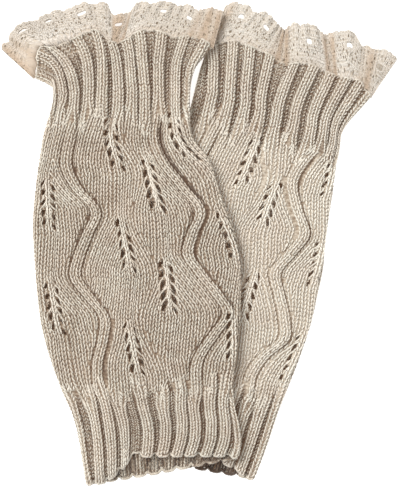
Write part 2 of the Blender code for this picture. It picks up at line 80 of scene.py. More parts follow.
rightSections = (
    (3.6, 115.2, 102.6, 88.2, 7.8), (1.8, 110.4, 97.6, 82.4, 7.2), (0.0, 105.0, 90.8, 75.0, 5.4),
    (-2.4, 96.0, 85.2, 66.6, 3.0), (-5.4, 84.0, 84.0, 57.6, 1.2), (-9.6, 69.6, 82.0, 46.8, 0),
    (-16.8, 52.8, 80.2, 32.4, 0), (-25.8, 36.0, 78.0, 18.0, 0), (-33.6, 19.2, 75.8, 2.4, 0),
    (-40.2, 1.2, 74.2, -14.4, 0), (-45.0, -16.8, 70.8, -31.2, 0), (-48.6, -34.8, 66.6, -49.2, 0),
    (-51.0, -52.8, 60.6, -67.2, 0), (-52.2, -70.8, 53.6, -85.2, 0), (-53.4, -86.4, 47.4, -99.6, 0),
    (-55.2, -99.6, 42.6, -114.0, 0), (-56.4, -112.8, 37.8, -127.8, 0), (-57.6, -125.4, 32.4, -141.6, 0),
)
# The rim, (across, rise as a share of the bow, height of its flutes).
leftRim = (
    (0.00, 0.00, 0.0), (0.04, 0.80, 0.4), (0.12, 0.87, 1.2), (0.27, 1.06, 2.8), (0.38, 1.18, 3.0),
    (0.45, 0.78, 0.2), (0.53, 0.74, 0.2), (0.62, 0.95, 2.4), (0.70, 0.90, 2.6), (0.80, 0.62, 1.0),
    (0.91, 0.48, 0.4), (0.96, 0.30, 0.2), (1.00, 0.00, 0.0),
)
rightRim = (
    (0.00, 0.00, 0.0), (0.05, 0.80, 0.0), (0.14, 1.35, 0.8), (0.24, 1.25, 2.4), (0.33, 1.16, 1.8),
    (0.47, 0.75, 0.2), (0.57, 1.14, 2.6), (0.67, 1.08, 1.2), (0.74, 0.92, 0.2), (0.84, 0.88, 2.2),
    (0.91, 0.95, 0.8), (0.97, 0.32, 0.6), (1.00, 0.00, 0.0),
)
# How far the front hem is drawn up, (across, length).
leftPull = ((0, 0), (0.12, 0), (0.22, 4.8), (0.34, 13.2), (0.48, 10.8), (0.68, 7.5), (0.90, 3.4), (1, 0))
rightPull = ((0, 0), (0.15, 3.0), (0.60, 4.5), (0.74, 7.8), (0.88, 4.2), (0.94, 0), (1, 0))
# Rib crowns across the face at each place down.
leftRibs = (
    (0.00, (0.010, 0.052, 0.124, 0.274, 0.385, 0.450, 0.535, 0.610, 0.730, 0.847, 0.950)),
    (0.13, (0.030, 0.095, 0.180, 0.277, 0.369, 0.482, 0.577, 0.664, 0.759, 0.876, 0.975)),
    (0.82, (0.040, 0.163, 0.245, 0.320, 0.455, 0.573, 0.685, 0.756, 0.851, 0.933, 0.988)),
    (1.00, (0.030, 0.117, 0.198, 0.290, 0.432, 0.525, 0.611, 0.691, 0.784, 0.864, 0.965)),
)
rightRibs = (
    (0.00, (-0.02, 0.045, 0.150, 0.252, 0.372, 0.515, 0.626, 0.728, 0.818, 0.900, 0.970)),
    (0.13, (-0.02, 0.133, 0.246, 0.352, 0.450, 0.556, 0.670, 0.782, 0.866, 0.932, 0.983)),
    (0.82, (0.045, 0.150, 0.250, 0.345, 0.435, 0.525, 0.615, 0.705, 0.795, 0.880, 0.965)),
    (1.00, (0.045, 0.150, 0.250, 0.345, 0.435, 0.525, 0.615, 0.705, 0.795, 0.880, 0.965)),
)
# Middles of the two travelling ribs, (down, left one, right one).
leftBands = (
    (0.17, 0.235, 0.760), (0.24, 0.199, 0.730), (0.30, 0.183, 0.725), (0.35, 0.240, 0.790),
    (0.405, 0.330, 0.848), (0.46, 0.280, 0.780), (0.51, 0.228, 0.743), (0.55, 0.207, 0.790),
    (0.60, 0.270, 0.868), (0.645, 0.333, 0.920), (0.69, 0.315, 0.860), (0.75, 0.258, 0.780),
    (0.81, 0.230, 0.770),
)
rightBands = (
    (0.17, 0.220, 0.850), (0.22, 0.190, 0.780), (0.28, 0.180, 0.736), (0.34, 0.230, 0.790),
    (0.41, 0.320, 0.862), (0.46, 0.280, 0.806), (0.51, 0.220, 0.750), (0.56, 0.210, 0.790),
    (0.62, 0.270, 0.845), (0.67, 0.330, 0.866), (0.71, 0.300, 0.800), (0.76, 0.250, 0.762),
    (0.81, 0.230, 0.780),
)
# Leaf columns, (across, how far down the first leaf's middle lies).
leaves = ((0.095, 0.390), (0.460, 0.255), (0.640, 0.350), (0.955, 0.240))
# The lace's outer edge with its scallops and folds, (along the strip, x, y, height).
leftLace = (
    (0.000, -119.6, 117.2, 0.0), (0.020, -118.6, 120.4, 0.4), (0.045, -114.8, 121.8, 1.0),
    (0.062, -113.8, 126.0, 1.6), (0.085, -111.4, 129.4, 2.4), (0.125, -105.2, 132.9, 3.2),
    (0.175, -98.0, 133.4, 3.8), (0.200, -94.6, 136.2, 4.2), (0.235, -89.4, 138.0, 4.4),
    (0.260, -85.8, 140.0, 4.5), (0.285, -81.6, 139.0, 4.4), (0.320, -75.4, 141.8, 4.5),
    (0.350, -69.6, 144.6, 4.5), (0.385, -64.4, 142.8, 4.4), (0.412, -59.8, 144.2, 4.2),
    (0.436, -55.2, 144.6, 4.0), (0.447, -54.2, 138.0, 1.8), (0.462, -51.0, 137.2, 0.2),
    (0.495, -44.0, 138.8, 0.0), (0.522, -41.4, 139.4, 0.6), (0.535, -38.6, 144.0, 2.8),
    (0.570, -34.0, 145.2, 4.2), (0.605, -29.6, 143.2, 4.6), (0.660, -22.6, 145.2, 4.6),
    (0.720, -16.2, 144.0, 4.0), (0.760, -12.6, 142.2, 2.8), (0.810, -7.0, 143.8, 2.2),
    (0.860, -1.4, 139.6, 1.4), (0.930, 7.0, 141.0, 0.8), (1.000, 13.8, 138.2, 0.4),
)
rightLace = (
    (0.000, 15.0, 138.6, 0.0), (0.030, 15.2, 143.4, 0.5), (0.060, 21.0, 145.6, 1.2),
    (0.085, 25.0, 143.6, 1.8), (0.115, 29.2, 142.8, 2.4), (0.140, 31.8, 138.8, 3.0),
    (0.170, 34.4, 138.0, 3.6), (0.205, 38.0, 139.2, 4.1), (0.250, 42.4, 136.2, 4.2),
    (0.300, 45.8, 132.2, 3.2), (0.360, 48.4, 129.8, 1.6), (0.440, 50.8, 127.8, 0.2),
    (0.490, 53.4, 130.6, 1.2), (0.530, 57.2, 132.9, 3.4), (0.565, 60.2, 130.4, 4.2),
    (0.605, 64.0, 131.8, 4.4), (0.650, 69.4, 130.4, 3.4), (0.690, 72.4, 127.4, 1.6),
    (0.720, 75.0, 125.2, 0.4), (0.750, 78.4, 126.6, 0.3), (0.785, 84.0, 127.4, 3.2),
    (0.830, 90.8, 127.4, 3.8), (0.860, 94.4, 123.6, 3.4), (0.880, 96.4, 118.2, 1.6),
    (0.910, 101.0, 119.0, 1.0), (0.935, 105.4, 116.0, 1.0), (0.955, 109.2, 117.4, 1.6),
    (0.980, 114.4, 115.4, 1.8), (1.000, 118.8, 111.4, 1.4),
)
# The lace's large holes, (along the strip, from the rim to the edge, state). The state is 1 for open,
# 0 for pressed shut and -1 for lost in a fold.
leftHoles = ((0.098, 0.80, 1), (0.208, 0.80, 1), (0.335, 0.66, 1), (0.480, 0.62, 1), (0.555, 0.66, 0),
             (0.690, 0.68, 1), (0.840, 0.63, 1), (0.935, 0.58, 0))
rightHoles = ((0.030, 0.60, -1), (0.108, 0.70, 1), (0.264, 0.68, 1), (0.455, 0.55, -1), (0.610, 0.56, 1),
              (0.715, 0.60, -1), (0.825, 0.71, 1), (0.972, 0.60, 0))


def ease(value, low, high):
    t = np.clip((value - low) / (high - low), 0.0, 1.0)
    return t * t * (3 - 2 * t)


def curve(knots, values, at):                    # a smooth curve through the knots
    knots, values = np.asarray(knots, float), np.asarray(values, float)
    slopes = np.gradient(values, knots)
    at = np.clip(at, knots[0], knots[-1])
    i = np.clip(np.searchsorted(knots, at) - 1, 0, len(knots) - 2)
    step = knots[i + 1] - knots[i]
    t = (at - knots[i]) / step
    start = (1 + 2 * t) * (1 - t) ** 2 * values[i] + t * (1 - t) ** 2 * step * slopes[i]
    return start + t * t * (3 - 2 * t) * values[i + 1] + t * t * (t - 1) * step * slopes[i + 1]


def cover(x, y):                                 # how high the left cuff lies over the right one
    rows = np.array(rightSections)
    edge = np.interp(y, np.append(rows[::-1, 1], rightLace[0][2]), np.append(rows[::-1, 0], rightLace[0][1]))
    hem = rightSections[-1]
    hemLine = hem[1] + (x - hem[0]) * (hem[3] - hem[1]) / (hem[2] - hem[0])
    approach, over = layout["coverApproach"], layout["coverOver"]
    return coverRise * ease(x - edge, -approach, over) * ease(y - hemLine, -approach - over, -over)


def flatTube(width, share):                      # across, height and normal at a share of the girth
    radius = layout["foldRadius"]
    half = width - 2 * radius + pi * radius
    share = np.mod(share, 1.0)
    upper = share <= 0.5
    run = np.where(upper, share, 1 - share) * 2 * half
    onLeft = run < half / 2
    turn = np.clip(np.where(onLeft, run, half - run) / radius, 0, pi / 2)
    flat = np.clip(run - pi / 2 * radius, 0, width - 2 * radius)
    normalS = np.where(onLeft, -1.0, 1.0) * np.cos(turn)
    normalZ = np.where(upper, 1, -1) * np.sin(turn)
    return radius + flat + radius * normalS, radius + radius * normalZ, normalS, normalZ


class Cuff:                                      # one cuff's measured shape
    def __init__(self, side, sections, rim, pull, ribs, bands, lace, holes, onTop, lean, creases, paleness,
                 hemShade):
        self.side, self.onTop, self.lean, self.holes, self.creases = side, onTop, lean, holes, creases
        self.paleness, self.hemShade = paleness, hemShade
        self.wideLeaves = ((2, 0), (2, 1)) if onTop else ()
        self.sections, self.rim, self.pull = np.array(sections), np.array(rim), np.array(pull)
        self.ribDown = np.array([row[0] for row in ribs])
        self.ribAcross = np.array([row[1] for row in ribs])
        self.bands, self.lace = np.array(bands), np.array(lace)
        rows = self.sections
        steps = np.hypot(np.diff(rows[:, 0] + rows[:, 2]) / 2,
                         np.diff((rows[:, 1] + rows[:, 3]) / 2 + rows[:, 4]))
        self.length = steps.sum()
        self.stations = np.append(0.0, np.cumsum(steps)) / self.length

    def course(self, index, down):
        return curve(self.stations, self.sections[:, index], down)

    def width(self, down):
        runX = self.course(2, down) - self.course(0, down)
        runY = self.course(3, down) - self.course(1, down)
        return np.hypot(runX, runY)

    def turns(self, across):                     # where ribs give way to leaves and come back
        uneven = (knit["turnUneven"] * np.sin(29 * across + self.lean)
                  + knit["turnFine"] * np.sin(71 * across + 2 * self.lean))
        return layout["leafFrom"] + uneven, layout["leafTo"] - uneven

    def leafPanel(self, down, across=None):
        turn = layout["turnLength"]
        first, last = (layout["leafFrom"], layout["leafTo"]) if across is None else self.turns(across)
        return ease(down, first - turn, first + turn) * (1 - ease(down, last - turn, last + turn))

    def closing(self, down, across):             # ribs widen and close their valleys before the leaves
        first, last = self.turns(across)
        reach = knit["turnReach"]
        return np.maximum(ease(down, first - reach, first) * (down < (first + last) / 2),
                          (1 - ease(down, last, last + reach)) * (down >= (first + last) / 2))

    def hemEnds(self, across, down):             # each rib ends in a small round at the hem
        off = np.abs(np.asarray(across)[..., None] - self.ribAcross[-1]).min(axis=-1) * self.width(1.0)
        rounded = knit["hemRound"] * (1 - np.minimum(off / knit["ribFoot"], 1.0) ** 2) - knit["hemNotch"]
        return ease(down, knit["hemRoundFrom"], 1.0) * rounded / self.length

    def insideShade(self, across):               # painted shade: how much darker the inside of the hem is coloured where it lies in shadow
        start, stop, depth = self.hemShade
        return depth * ease(across, start, start + 0.08) * (1 - ease(across, stop - 0.05, stop))

    def place(self, down, share, out):           # layout point, `out` from the plain outer surface
        leftX, leftY = self.course(0, down), self.course(1, down)
        runX, runY = self.course(2, down) - leftX, self.course(3, down) - leftY
        width = np.hypot(runX, runY)
        alongX, alongY = runX / width, runY / width
        s, z, normalS, normalZ = flatTube(width, share)
        across = s / width
        onFront = np.mod(share, 1.0) <= 0.5
        bow = self.course(4, down)
        rise = bow * curve(self.rim[:, 0], self.rim[:, 1], across) * np.where(onFront, 1.0, layout["rearBow"])
        drawn = np.interp(across, self.pull[:, 0], self.pull[:, 1])
        rise = rise + np.where(onFront, drawn, 0.0) * ease(down, layout["pullFrom"], 1.0)
        flute = np.maximum(curve(self.rim[:, 0], self.rim[:, 2], across) * bow / self.sections[0, 4], 0.0)
        s = s + normalS * out
        x = leftX + alongX * s - alongY * rise
        y = leftY + alongY * s + alongX * rise
        z = z + normalZ * out + flute
        if self.onTop:
            z = z + cover(x, y)
        return np.stack([x, y, z], axis=-1)

    def crowns(self, down):                      # rib crowns for each row
        return np.stack([np.interp(down, self.ribDown, place) for place in self.ribAcross.T], axis=-1)

    def band(self, which, down):
        return curve(self.bands[:, 0], self.bands[:, which], down)

    def metric(self, across, down):              # millimetres for one unit across, bends of the rim included
        step = 0.004
        one = self.place(down, (across - step) / 2, 0.0)
        two = self.place(down, (across + step) / 2, 0.0)
        return np.maximum(np.linalg.norm(two - one, axis=-1) / (2 * step), 20.0)

    def spine(self, leaf, down):                 # a leaf column leans within each leaf
        across, first = leaves[leaf]
        if self.onTop and leaf == len(leaves) - 1:   # its uppermost leaf lies further in
            across = across - knit["innerLeaf"] * (1 - ease(down, 0.27, 0.36))
        part = np.mod((down - first) / layout["leafPeriod"] + 0.5, 1.0) - 0.5
        saw = np.where(np.abs(part) < 0.3, part / 0.3, np.sign(part) * (0.5 - np.abs(part)) / 0.2)
        return across + self.lean * knit["spineLean"] * saw / self.width(down)

    def relief(self, across, down):              # ribs, travelling ribs, leaf veins
        shape = np.broadcast(across, down).shape
        across, down = np.broadcast_to(across, shape).ravel(), np.broadcast_to(down, shape).ravel()
        metric = self.metric(across, down)
        crowns = self.crowns(down)
        nearest = np.abs(crowns - across[:, None]).argmin(axis=1)
        rows = np.arange(len(down))
        centre = crowns[rows, nearest]
        padded = np.pad(crowns, ((0, 0), (1, 1)))
        padded[:, 0], padded[:, -1] = -crowns[:, 0] - 0.02, 2.02 - crowns[:, -1]
        beyond = np.where(across > centre, padded[rows, nearest + 2], padded[rows, nearest])
        closing = self.closing(down, across)
        foot = np.minimum(np.abs(beyond - centre) * metric * ribShare(closing),
                          knit["ribFoot"] * (1 + 0.5 * closing))
        off = np.abs(across - centre) * metric
        ribs = layout["ribRaise"] * np.maximum(1 - (off / np.maximum(foot, 0.4)) ** 2.8, 0)
        ribs = ribs - knit["valley"] * ease(off - foot, -1.3, 0.3)
        ribs = ribs - knit["valleyCrease"] * (1 - 0.5 * closing) * np.exp(-((off - foot - 0.3) / 0.9) ** 2)
        leafy = np.full(len(down), knit["panelRaise"])
        for which in (1, 2):
            away = (across - self.band(which, down)) * metric
            off = np.abs(away)
            deep = np.full(len(down), knit["grooveDepth"])
            for band, side, start, stop, depth in self.creases:
                if band == which:
                    begun = ease(down, start - 0.02, start + 0.02)
                    ended = ease(down, stop - 0.03, stop + 0.03)
                    deep = deep + depth * (begun * (1 - ended)) * (away * side > 0)
            leafy = np.where(off < knit["bandFoot"],
                             knit["bandRaise"] * (1 - (off / knit["bandFoot"]) ** 3), leafy)
            wide = knit["grooveWide"] * (1 + 0.3 * (deep - knit["grooveDepth"]))
            leafy = leafy - deep * np.exp(-((off - knit["bandFoot"] - 0.4) / wide) ** 2)
        for leaf in range(len(leaves)):
            off = np.abs(across - self.spine(leaf, down)) * metric
            part = np.cos(2 * pi * (down - leaves[leaf][1]) / layout["leafPeriod"])
            leafy = leafy + (knit["spineRaise"] * (0.55 + 0.45 * part) * np.exp(-(off / 2.0) ** 2)
                             - knit["veinDepth"] * ease(part, -0.2, 0.6) * np.exp(-((off - 3.6) / 1.3) ** 2))
        panel = self.leafPanel(down, across)
        normalZ = flatTube(self.width(down), across / 2)[3]
        waves = (knit["waveHeight"] * np.sin(0.21 * across * 120 + 5 * down)
                 * np.sin(0.055 * down * self.length + 9 * across))
        rolled = knit["hemRoll"] * ease(down, 1 - knit["hemRollLength"], 1.0) ** 2
        raised = (ribs * (1 - panel) + (leafy + waves) * panel - rolled) * ease(normalZ, 0.2, 1.0)
        return raised.reshape(shape)


knit = {
    "wale": 3.6,              # one column of stitches
    "ribCourse": 2.1, "leafCourse": 2.5,
    "yarnWide": 0.56, "yarnHigh": 0.50,
    "proud": 0.25,            # yarn tops over the cloth's outer surface
    "ribFoot": 3.75, "ribShare": 0.46, "valley": 0.70, "valleyCrease": 0.9,
    "turnUneven": 0.020, "turnFine": 0.010, "turnReach": 0.06, "turnStart": 0.016, "turnEarly": 0.012,
    "innerLeaf": 0.08,
    "bandRaise": 2.1, "bandFoot": 3.7, "grooveDepth": 1.25, "grooveWide": 1.15, "panelRaise": 0.40,
    "veinDepth": 0.55, "spineRaise": 1.5, "spineLean": 1.6,
    "hemRoll": 1.3, "hemRollLength": 0.012, "hemRound": 3.0, "hemNotch": 2.0, "hemRoundFrom": 0.972,
    # Painted shade: yarn at the side folds is coloured darker, and near the rim the painted hollow shade is
    # weaker.
    "deepest": 3.0, "sideReach": 0.045, "sideShadeTint": 2.6, "rimShadeCut": 0.7, "rimReach": 0.075,
    "legSlant": 0.26, "legLong": 1.45, "legArch": 0.55,
    # Painted highlight: ribs, travelling ribs and spines are coloured paler by these amounts.
    "chainSlant": 0.27, "chainLong": 1.42, "ribHighlight": 0.8, "bandHighlight": 0.3, "spineHighlight": 2.4,
    "eyeletWide": 1.15, "eyeletLong": 2.10, "eyeletStep": 6.2, "eyeletRows": 5, "eyeletOff": 3.0,
    "eyeletPush": 2.0, "eyeletSlant": 0.32,
    "purlWide": 0.38, "purlStep": 1.55, "purlSlant": 0.55, "edgeYarn": 0.92,
    # Painted shade: how much darker yarn in a hollow is coloured.
    "paintedShadeTint": 1.9,        # how much darker the yarn looks in a hollow
    "ribPaleness": 0.3,       # how much of a cuff's paleness its ribs take
    "groundPaleness": 0.5,
    "wobble": 0.14, "waveHeight": 0.40,
    "shellDepth": 1.0, "shellFold": 0.55, "shellFoldReach": 0.06,
    "shellAcross": 140, "shellDown": 172, "shellBack": 48,
    "backWales": 28,
    "rearScallops": 11, "rearRidge": 1.3, "scallopRound": 0.6,
    "rearRise": 3.4, "rearFall": 2.8, "insideRise": 3.6, "insideFall": 2.4,
    # Painted shade: the hem's inner side is coloured darker overall, in its valleys and at its edge loops.
    "insidePaintedShade": 2.2, "valleyPaintedShade": 6.0, "valleyNarrow": 1.3, "insideEdgePaintedShade": 1.5,
}
# Creases beside the travelling ribs, (which rib, side of it, from, to, how much deeper).
leftCreases = (
    (2, 1, 0.15, 0.385, 2.1), (2, -1, 0.16, 0.36, -0.8), (2, -1, 0.40, 0.51, 0.7),
    (2, 1, 0.52, 0.64, 0.5), (2, -1, 0.52, 0.61, -0.5), (2, -1, 0.66, 0.78, 0.5),
    (1, 1, 0.30, 0.40, 0.5), (1, -1, 0.42, 0.53, 0.5), (1, 1, 0.56, 0.64, 0.4),
)
rightCreases = ((2, 1, 0.2, 0.45, 0.6), (2, -1, 0.2, 0.45, -0.5), (1, 1, 0.2, 0.4, 0.5))
leftCuff = Cuff("left", leftSections, leftRim, leftPull, leftRibs, leftBands, leftLace, leftHoles,
                onTop=True, lean=1, creases=leftCreases, paleness=-1.1, hemShade=(0.66, 1.2, 3.0))
rightCuff = Cuff("right", rightSections, rightRim, rightPull, rightRibs, rightBands, rightLace, rightHoles,
                 onTop=False, lean=-1, creases=rightCreases, paleness=2.2, hemShade=(0.54, 0.90, 8.0))
print("cuffs laid out", round(leftCuff.length), round(rightCuff.length), "mm long")


def ribShare(closing):                           # a rib's half width as a share of the way to the next
    return knit["ribShare"] + (0.5 - knit["ribShare"]) * closing


def rearRibs(across):                            # 1 on the rear's ribs, -1 in the valleys
    return np.cos(across * 2 * pi * knit["rearScallops"])


class Wire:                                      # an output socket that can be used in sums
    def __init__(self, board, socket):
        self.board, self.socket = board, socket

    def maths(self, operation, *values):
        return self.board.add("ShaderNodeMath", {"operation": operation}, dict(enumerate(values)))

    def __add__(self, other): return self.maths("ADD", self, other)
    def __sub__(self, other): return self.maths("SUBTRACT", self, other)
    def __mul__(self, other): return self.maths("MULTIPLY", self, other)
    def wave(self): return self.maths("SINE", self)
    def limited(self): return self.maths("MINIMUM", self.maths("MAXIMUM", self, 0.0), 1.0)


class Board:                                     # the nodes of one material
    def __init__(self, name):
        self.material = bpy.data.materials.new(name)
        self.material.use_nodes = True
        self.nodes, self.links = self.material.node_tree.nodes, self.material.node_tree.links
        self.shader = self.nodes["Principled BSDF"]

    def add(self, kind, settings=None, inputs=None, output=0):
        node = self.nodes.new(kind)
        for name, value in (settings or {}).items():
            if name == "stops":
                ramp = node.color_ramp.elements
                for i, (place, colour) in enumerate(value):
                    stop = ramp[i] if i < 2 else ramp.new(place)
                    stop.position, stop.color = place, (*colour, 1)
            else:
                setattr(node, name, value)
        for name, value in (inputs or {}).items():
            self.feed(node.inputs[name], value)
        return Wire(self, node.outputs[output])

    def feed(self, socket, value):
        if isinstance(value, Wire):
            self.links.new(value.socket, socket)
        elif isinstance(value, tuple) and socket.type == "RGBA":
            socket.default_value = (*value, 1)
        else:
            socket.default_value = value

    def mix(self, factor, first, second):        # colours
        return self.add("ShaderNodeMix", {"data_type": "RGBA"}, {0: factor, 6: first, 7: second}, 2)

    def noise(self, place, scale, detail=2.0):
        return self.add("ShaderNodeTexNoise", {}, {"Vector": place, "Scale": scale, "Detail": detail})

    def finish(self, **sockets):
        for name, value in sockets.items():
            self.feed(self.shader.inputs[name.replace("_", " ")], value)
        return self.material


def yarnFinish(name, look):
    board = Board(name)
    place = board.add("ShaderNodeTexCoord", {}, {}, 3)
    tint = board.add("ShaderNodeAttribute", {"attribute_name": "tint"}, {}, 2)
    along = board.add("ShaderNodeUVMap", {"uv_map": "yarn"})
    length = board.add("ShaderNodeSeparateXYZ", {}, {0: along})
    girth = Wire(board, length.socket.node.outputs[1])
    # Painted shade: the yarn is coloured a little darker in the troughs of its twist.
    twist = ((length * look["twistTurns"] + girth * 2.0) * (2 * pi)).wave()
    fibre = board.noise(place, look["fibreScale"], 3.0)
    patch = board.noise(place, look["patchScale"], 2.0)
    # The tint attribute holds each strand's own tone together with painted highlight and painted shade.
    shade = (tint * look["tintShare"] + fibre * look["fibreShare"] + patch * look["patchShare"]
             + twist * look["twistShadeShare"] + look["shadeBase"]).limited()
    colour = board.add("ShaderNodeValToRGB", {"stops": look["stops"]}, {0: shade})
    warm = (board.noise(place, look["warmScale"], 1.0) * 3.0 - 1.1).limited()
    colour = board.mix(warm * look["warmShare"], colour, look["warmColour"])
    # Painted shade: the lace is coloured tan in its folds.
    if "foldShadeShare" in look:
        fold = board.add("ShaderNodeAttribute", {"attribute_name": "fold"}, {}, 2)
        colour = board.mix(fold * look["foldShadeShare"], colour, look["foldShadeColour"])
    height = twist * look["twistBump"] + fibre * look["fibreBump"]
    bump = board.add("ShaderNodeBump", {}, {"Strength": 1.0, "Distance": 0.0002, "Height": height})
    return board.finish(Base_Color=colour, Roughness=look["roughness"], Normal=bump,
                        Sheen_Weight=look["sheen"], Sheen_Roughness=0.5, Specular_IOR_Level=0.25)


# The glow is painted light: the cloth under the stitches glows faintly, so its shade reads brown.
woolLook = {
    "stops": ((0.0, (0.085, 0.054, 0.036)), (1.0, (0.92, 0.875, 0.775)), (0.18, (0.25, 0.192, 0.138)),
              (0.36, (0.515, 0.455, 0.365)), (0.62, (0.72, 0.67, 0.575))),
    "tintShare": 0.07, "fibreShare": 0.42, "patchShare": 0.20, "twistShadeShare": 0.05, "shadeBase": 0.26,
    "fibreScale": 700.0, "patchScale": 90.0, "warmScale": 70.0, "warmShare": 0.24,
    "warmColour": (0.66, 0.50, 0.40), "twistTurns": 1.5, "twistBump": 0.35, "fibreBump": 0.6,
    "roughness": 0.88, "sheen": 0.25, "paintedGlow": (0.060, 0.033, 0.019), "hollowShadeShare": 0.12,
}
# For the lace, the fold and slit colours are painted shade and the glow is painted light.
cottonLook = {
    "stops": ((0.0, (0.36, 0.295, 0.22)), (1.0, (0.80, 0.76, 0.70)), (0.30, (0.54, 0.475, 0.395)),
              (0.60, (0.66, 0.605, 0.535))),
    "tintShare": 0.07, "fibreShare": 0.55, "patchShare": 0.26, "twistShadeShare": 0.03, "shadeBase": 0.26,
    "fibreScale": 1100.0, "patchScale": 70.0, "warmScale": 55.0, "warmShare": 0.10,
    "warmColour": (0.86, 0.72, 0.55), "twistTurns": 2.0, "twistBump": 0.25, "fibreBump": 0.3,
    "foldShadeShare": 0.80, "foldShadeColour": (0.47, 0.345, 0.24), "slitShadeColour": (0.20, 0.155, 0.105),
    "roughness": 0.8, "sheen": 0.10, "paintedGlow": (0.020, 0.015, 0.009),
}


def clothFinish(name, look, stitch):             # the plain ground under the stitches
    board = Board(name)
    place = board.add("ShaderNodeTexCoord", {}, {}, 3)
    along = board.add("ShaderNodeUVMap", {"uv_map": "cloth"})
    length = board.add("ShaderNodeSeparateXYZ", {}, {0: along})
    down = Wire(board, length.socket.node.outputs[1])
    wale = (length * (2 * pi / stitch[0])).wave()
    lean = (down * (2 * pi / stitch[1]) + wale * 0.9).wave()
    fibre = board.noise(place, look["fibreScale"], 3.0)
    patch = board.noise(place, look["patchScale"], 2.0)
    # Painted shade: the ground is coloured darker in the troughs of its weave.
    shade = (fibre * look["fibreShare"] + patch * look["patchShare"] + lean * look["weaveShadeShare"]
             + wale * look["weaveShadeShare"] + look["shadeBase"] - look["groundShade"])
    # Painted shade: the ground is coloured darker in hollows.
    if "hollowShadeShare" in look:
        hollow = board.add("ShaderNodeAttribute", {"attribute_name": "hollow"}, {}, 2)
        shade = shade - hollow * look["hollowShadeShare"]
    colour = board.add("ShaderNodeValToRGB", {"stops": look["stops"]}, {0: shade.limited()})
    # Painted shade: the lace ground is coloured tan in its folds.
    if "foldShadeShare" in look:
        fold = board.add("ShaderNodeAttribute", {"attribute_name": "fold"}, {}, 2)
        colour = board.mix(fold * look["foldShadeShare"], colour, look["foldShadeColour"])
        # Painted shade: slit faces are coloured dark brown.
        slit = board.add("ShaderNodeAttribute", {"attribute_name": "slit"}, {}, 2)
        colour = board.mix(slit, colour, look["slitShadeColour"])
    bump = board.add("ShaderNodeBump", {}, {"Strength": 1.0, "Distance": look["weaveDepth"],
                                            "Height": wale * 0.5 + lean * 0.5 + fibre * 0.3})
    # Painted light: the ground glows a little, though it is no lamp.
    return board.finish(Base_Color=colour, Roughness=look["roughness"], Normal=bump,
                        Sheen_Weight=look["sheen"], Specular_IOR_Level=0.2,
                        Emission_Color=look["paintedGlow"], Emission_Strength=1.0)


woolYarn = yarnFinish("oatmealYarn", woolLook)
# Painted shade: the ground between the strands is coloured darker than the yarn, on the knit and on the lace.
woolGround = clothFinish("oatmealGround", {**woolLook, "groundShade": 0.33, "weaveShadeShare": 0.05,
                                           "weaveDepth": 0.0005}, (0.0036, 0.0023))
cottonThread = yarnFinish("creamThread", cottonLook)
cottonGround = clothFinish("creamGround", {**cottonLook, "groundShade": 0.22, "weaveShadeShare": 0.10,
                                           "weaveDepth": 0.0003}, (0.0017, 0.0014))
print("finishes made")


def meshPiece(name, points, quads, triangles, material, smooth=True):
    points = (points - (layout["centreX"], layout["centreY"], 0)) * mm
    quads = np.asarray(quads, np.int32).reshape(-1, 4)
    triangles = np.asarray(triangles, np.int32).reshape(-1, 3)
    data = bpy.data.meshes.new(name)
    data.vertices.add(len(points))
    data.vertices.foreach_set("co", points.astype(np.float32).ravel())
    corners = np.concatenate([quads.ravel(), triangles.ravel()])
    data.loops.add(len(corners))
    data.loops.foreach_set("vertex_index", corners)
    sizes = np.concatenate([np.full(len(quads), 4), np.full(len(triangles), 3)]).astype(np.int32)
    data.polygons.add(len(sizes))
    data.polygons.foreach_set("loop_start", np.concatenate([[0], np.cumsum(sizes)[:-1]]).astype(np.int32))
    data.update(calc_edges=True)
    data.validate()
    data.materials.append(material)
    if smooth:
        data.shade_smooth()
    piece = bpy.data.objects.new(name, data)
    bpy.context.scene.collection.objects.link(piece)
    return piece


def addMap(piece, name, perPoint):               # a UV map from one pair of numbers a point
    data = piece.data
    index = np.empty(len(data.loops), np.int32)
    data.loops.foreach_get("vertex_index", index)
    layer = data.uv_layers.new(name=name)
    layer.data.foreach_set("uv", perPoint[index].astype(np.float32).ravel())


def addShare(piece, name, perPoint):
    layer = piece.data.attributes.new(name, "FLOAT", "POINT")
    layer.data.foreach_set("value", np.asarray(perPoint, np.float32).ravel())


def strandPoints(sides):                         # three rings and the two ends
    return 3 * sides + 2


